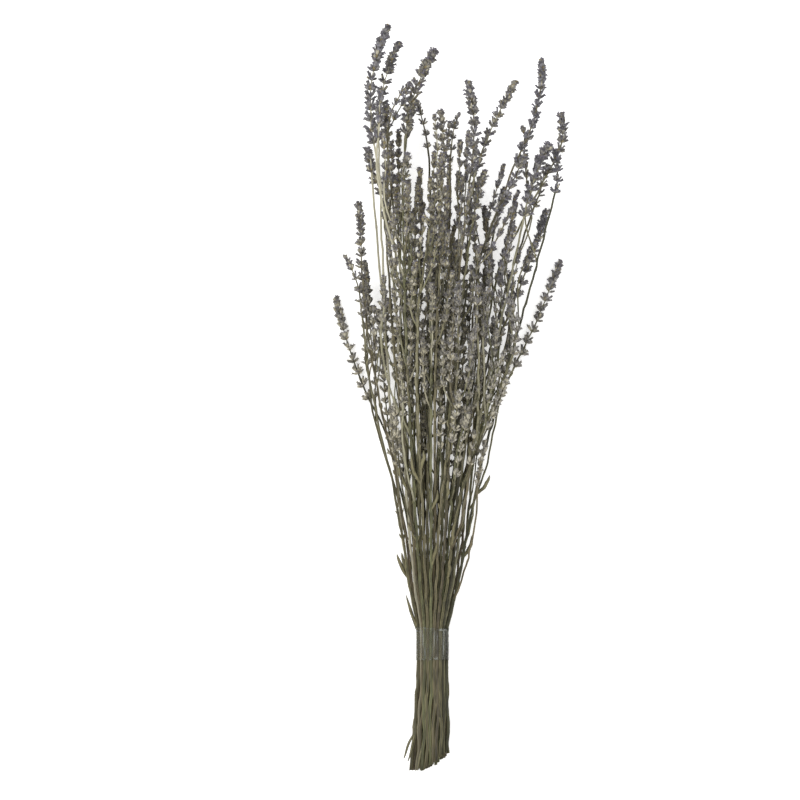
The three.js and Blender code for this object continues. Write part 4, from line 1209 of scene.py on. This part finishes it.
def bracts_under(stem, tone, base, start):
    """Two opposite bracts under each whorl, a quarter turn from its sprays, with their flat sides
    to the stalk."""
    pair = np.repeat(np.arange(len(base)), 2)
    turn = start + pair * np.pi / 2 + np.tile([0, np.pi], len(base)) + np.pi / 2
    lean = flower_draws.uniform(*BRACT_LEAN, len(pair))
    middle, out, ways = leaning(stem["axis"], base[pair], turn, lean)
    grown_by = stem["size"] * flower_draws.uniform(*BRACT_GROWN, len(pair))
    flat = np.stack([ways[:, 1], ways[:, 0], ways[:, 2]], 1)
    sizes = grown_by[:, None] * (BRACT_HALF_WIDTH, BRACT_HALF_WIDTH, BRACT_LENGTH)
    return scattered(BRACT, middle + BRACT_ROOT * out, flat, sizes, np.full(len(pair), tone))


def spike_forms(stem, tone, spread):
    """The calyces, petals and bracts of one spike."""
    whorls = whorls_of(stem, spread)
    whorl, turn, start = calyx_turns(whorls[1], spread)
    calyces = grown_calyces(stem, tone, spread, whorls, whorl, turn)
    tubes = scattered(CALYX, *calyces, CALYX_CURVE)
    return [tubes, petals_in(stem, *calyces), bracts_under(stem, tone, whorls[0], start)]


def olive_by_place(spike):
    """How olive a spike is, from 0 to 1: a bell curve across the fan, which fades out high up."""
    x, y, *_rest = on_axis(spike["axis"], spike["foot_y"])
    low, high = OLIVE_FADE_Y
    return math.exp(-(((x - OLIVE_X) / OLIVE_WIDTH) ** 2)) * clamp((high - y) / (high - low), 0, 1)


def flower_skin():
    """Dried flower: the growth attribute holds the way along, rib, tone, and which form it is."""
    material, tree, shader = empty_material("dried_flower")
    way, rib, tone, kind = painted(tree)
    felt = grain(tree, *FELT)
    tube = layered(
        tree,
        mixed(tree, ranged(tree, tone, 0.0, 1.0), CALYX_VIOLET, CALYX_OLIVE),
        (tone, (1.1, 1.9), (0.0, 0.8), CALYX_PALE),
        (way, (0.0, 0.45), (0.85, 0.0), CALYX_FOOT),
        # furrows between the calyx ribs darkened: painted shade
        (rib, (0.0, 0.6), (0.55, 0.0), CALYX_MOUTH_AND_SHADE),
        (felt, (0.45, 0.95), (0.0, 0.7), CALYX_BLOOM),
        # darker towards the mouth: the teeth's own darker violet, and painted shade in the hollow inside
        (way, (0.85, 1.15), (0.0, 0.9), CALYX_MOUTH_AND_SHADE),
    )
    petal = mixed(tree, ranged(tree, felt, 0.3, 0.9), PETAL_COLOUR, CALYX_BLOOM)
    petal = mixed(tree, 0.35, PETAL_COLOUR, petal)
    bract = mixed(tree, ranged(tree, felt, 0.2, 0.9), BRACT_COLOUR, CALYX_OLIVE)
    colour = layered(
        tree,
        tube,
        (kind, (CALYX_KIND, BRACT_KIND), (0.0, 1.0), bract),
        (kind, (BRACT_KIND, PETAL_KIND), (0.0, 1.0), petal),
        # paler lower down the bunch
        (height_on(tree), metres(PALER_BELOW_Y), (0.52, 0.0), CALYX_PALE),
        # patches of painted shade over the spikes, between the calyces
        (grain(tree, *SHADED_PATCHES), (0.45, 0.75), (0.0, 0.7), CALYX_MOUTH_AND_SHADE),
    )
    felted = relief(tree, felt, FELT_STRENGTH, FELT_DEPTH)
    feed(tree, shader, {"Base Color": colour, "Roughness": FELT_ROUGHNESS, "Normal": felted})
    feed(tree, shader, {"Sheen Weight": FELT_SHEEN, "Sheen Roughness": SHEEN_ROUGHNESS})
    return material


def lay_chart(piece, charts):
    """Each form's chart goes to a cell of its own on the piece's map, with a rim round it."""
    across = math.ceil(math.sqrt(sum(len(chart) for chart in charts)))
    cells, first = [], 0
    for chart in charts:
        cell = first + np.arange(len(chart))
        corner = np.stack([cell % across, cell // across], -1)[:, None]
        cells.append(((corner + graded((CHART_RIM, 1 - CHART_RIM), chart)) / across).reshape(-1, 2))
        first += len(chart)
    layer = piece.data.uv_layers.new(name=FLOWER_MAP)
    layer.uv.foreach_set("vector", np.concatenate(cells).astype(np.float32).ravel())


flower_material = flower_skin()
for number, stem in enumerate(stems, 1):
    kind = (number - 1) % len(SPIKE_SLOTS)
    forms = []
    for spike in [stem, *stem["shoots"], *stem["branches"]]:
        spread = CROWDED_SPREAD if CROWDED_Y[0] < spike["foot_y"] < CROWDED_Y[1] else 1.0
        if spike is stem and number <= len(OUTLINE_STEMS):
            spread = OPEN_SPREAD
        tone = OWN_TONE * SPIKE_TONES[kind] + PLACE_TONE * olive_by_place(spike)
        forms += spike_forms(spike, tone, spread)
    points, faces, paint = joined(form[:3] for form in forms)
    name = f"stem_{number:02d}"
    flowers = make_piece(f"{name}_flowers", points, faces, paint, flower_material, SPIKE_SLOTS[kind])
    lay_chart(flowers, [form[3] for form in forms])
    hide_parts(name)

# Clear film. Two turns of thin, glossy, clear plastic hold the stalks. It is stretched over the
# outer ones, so it runs straight from one to the next, with fine creases along the pull. Whitish
# lines on the creases and along its edges are painted highlights.
FILM_OFFSETS = (0.34, 0.6)
FILM_THICKNESS = 0.1
FILM_ENDS = ((-211.0, -186.5), (-209.5, -184.5))  # the lower and upper edge of each turn
FILM_SLANTS = (0.5, -0.7)
FILM_SAMPLES, FILM_RINGS = 240, 18
PULL_LINES, GRAZING = 720, 0.05
CREASE_HEIGHT, CREASES_ALONG, CREASES_ROUND = 0.06, (1.9, 0.7), (6, 9)
# The last is how sharply the painted edge highlight gathers at the film's edges
LIP_HEIGHT, LIP_SHARPNESS, EDGE_HIGHLIGHT_SHARPNESS = 0.12, 12, 16
# The whitish colour of the film's haze and of its painted highlights
FILM_HAZE_AND_HIGHLIGHT, FILM_TINT = "#e4ebe6", (0.995, 0.995, 0.99, 1)
# Grains of the creases and of the painted edge highlight's spots; shares of the painted highlight on the
# creases and along the edges, and of the haze seen aslant
CREASES, EDGE_HIGHLIGHT_SPOTS = (2.2, 10, 2.6), (3.0, 1, 3.0)
CREASE_HIGHLIGHT, EDGE_HIGHLIGHT, SIDE_HAZE = 0.09, 0.22, (0.006, 0.06)
CREASE_STRENGTH, CREASE_DEPTH = 0.6, 0.0003
FILM_ROUGHNESS, FILM_BEND, FILM_FACING = 0.12, 1.14, 0.3


def held_outline(angle, offset):
    """Distance from the middle of the tie to the film, at each angle: the film lies on the lines
    that touch the outer stalks' corners, moved out by the offset. Each line is met at its own
    distance over the cosine of the angle to it, and the nearest one counts."""
    corners = []
    for stem in stems:
        x, _y, z, *_slopes = on_axis(stem["axis"], TIE_Y)
        half = stalk_side(stem, TIE_Y) / 2
        corners += [(x + i * half, z + j * half) for i in (-1, 1) for j in (-1, 1)]
    corners = np.array(corners) - (TIE_CENTRE_X, TIE_CENTRE_Z)
    normal = 2 * np.pi * np.arange(PULL_LINES) / PULL_LINES
    reach = (corners @ np.stack([np.cos(normal), np.sin(normal)])).max(0) + offset
    facing = np.cos(normal - angle[:, None])
    return np.where(facing > GRAZING, reach / np.maximum(facing, GRAZING), np.inf).min(1)


def film_turn(offset, ends, slant):
    """One turn of film: a closed shell of two sheets, FILM_THICKNESS apart. Its edges slant with the
    sine of the angle, its creases are a product of two sines of y and the angle, and a lip rises
    at both edges with the way from the middle, to the power LIP_SHARPNESS."""
    angle = 2 * np.pi * np.arange(FILM_SAMPLES) / FILM_SAMPLES
    along = np.linspace(0, 1, FILM_RINGS)[:, None]
    low = ends[0] + slant * np.sin(angle)
    high = ends[1] + slant * np.sin(angle + 1)
    y = low + (high - low) * along
    crease = np.sin(y * CREASES_ALONG[0] + CREASES_ROUND[0] * np.sin(angle))
    crease *= np.sin(y * CREASES_ALONG[1] + CREASES_ROUND[1] * angle)
    edge = np.abs(2 * along - 1)
    outer = held_outline(angle, offset) + CREASE_HEIGHT * crease + LIP_HEIGHT * edge**LIP_SHARPNESS
    sheets = []
    for radius in (outer, outer - FILM_THICKNESS):
        x = TIE_CENTRE_X + radius * np.cos(angle)
        z = TIE_CENTRE_Z + radius * np.sin(angle)
        sheets.append(np.stack([x, y, z], -1))
    points = np.concatenate([sheets[0], sheets[1][::-1]]).reshape(-1, 3)
    ring, side = np.meshgrid(np.arange(2 * FILM_RINGS), np.arange(FILM_SAMPLES), indexing="ij")
    next_ring, after = (ring + 1) % (2 * FILM_RINGS), (side + 1) % FILM_SAMPLES
    corners = ((next_ring, side), (next_ring, after), (ring, after), (ring, side))
    faces = np.stack([row * FILM_SAMPLES + column for row, column in corners], -1).reshape(-1, 4)
    paint = np.zeros((len(points), 4))
    # the way to the edges, to a high power: where the painted edge highlight lies
    paint[:, 0] = np.repeat(np.concatenate([edge, edge[::-1]]) ** EDGE_HIGHLIGHT_SHARPNESS, FILM_SAMPLES)
    paint[:, 3] = 1
    return points, faces.tolist(), paint


def film_skin():
    """Clear film: light goes through it and some is mirrored, more where it is seen aslant, where
    it is also a little hazier. Whitish lines in its creases and along its edges are painted highlights."""
    material, tree, shader = empty_material("clear_film")
    tree.nodes.remove(shader)
    edge, *_rest = painted(tree)
    creases = grain(tree, *CREASES)
    # painted highlights along the creases
    crease_highlights = ranged(tree, creases, 0.6, 0.95, 0.0, CREASE_HIGHLIGHT)
    edge_highlight_reach = ranged(tree, edge, 0.2, 1.0, 0.0, EDGE_HIGHLIGHT)
    # painted highlight along the edges, in spots
    rim = ranged(tree, grain(tree, *EDGE_HIGHLIGHT_SPOTS), 0.5, 0.8, 0.0, edge_highlight_reach)
    aslant = add(tree, "ShaderNodeLayerWeight", {"Blend": FILM_FACING}).outputs["Facing"]
    sides = ranged(tree, aslant, 0.35, 0.95, *SIDE_HAZE)
    haze_and_highlight_share = figured(tree, "MAXIMUM", figured(tree, "MAXIMUM", crease_highlights, rim), sides)
    through = add(tree, "ShaderNodeBsdfTransparent", {"Color": FILM_TINT}).outputs[0]
    haze_and_highlights = add(tree, "ShaderNodeBsdfDiffuse", {"Color": FILM_HAZE_AND_HIGHLIGHT}).outputs[0]
    creased = relief(tree, creases, CREASE_STRENGTH, CREASE_DEPTH)
    mirror = add(tree, "ShaderNodeBsdfGlossy", {"Roughness": FILM_ROUGHNESS, "Normal": creased})
    slant = add(tree, "ShaderNodeFresnel", {"IOR": FILM_BEND, "Normal": creased}).outputs[0]
    hazy_and_highlit = add(tree, "ShaderNodeMixShader", {0: haze_and_highlight_share, 1: through, 2: haze_and_highlights}).outputs[0]
    glossy = add(tree, "ShaderNodeMixShader", {0: slant, 1: hazy_and_highlit, 2: mirror.outputs[0]}).outputs[0]
    output = next(node for node in tree.nodes if node.type == "OUTPUT_MATERIAL")
    feed(tree, output, {"Surface": glossy})
    return material


turns = [film_turn(*turn) for turn in zip(FILM_OFFSETS, FILM_ENDS, FILM_SLANTS)]
film = make_piece("film_band", *joined(turns), film_skin(), "clear_film")
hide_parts("tie_band")
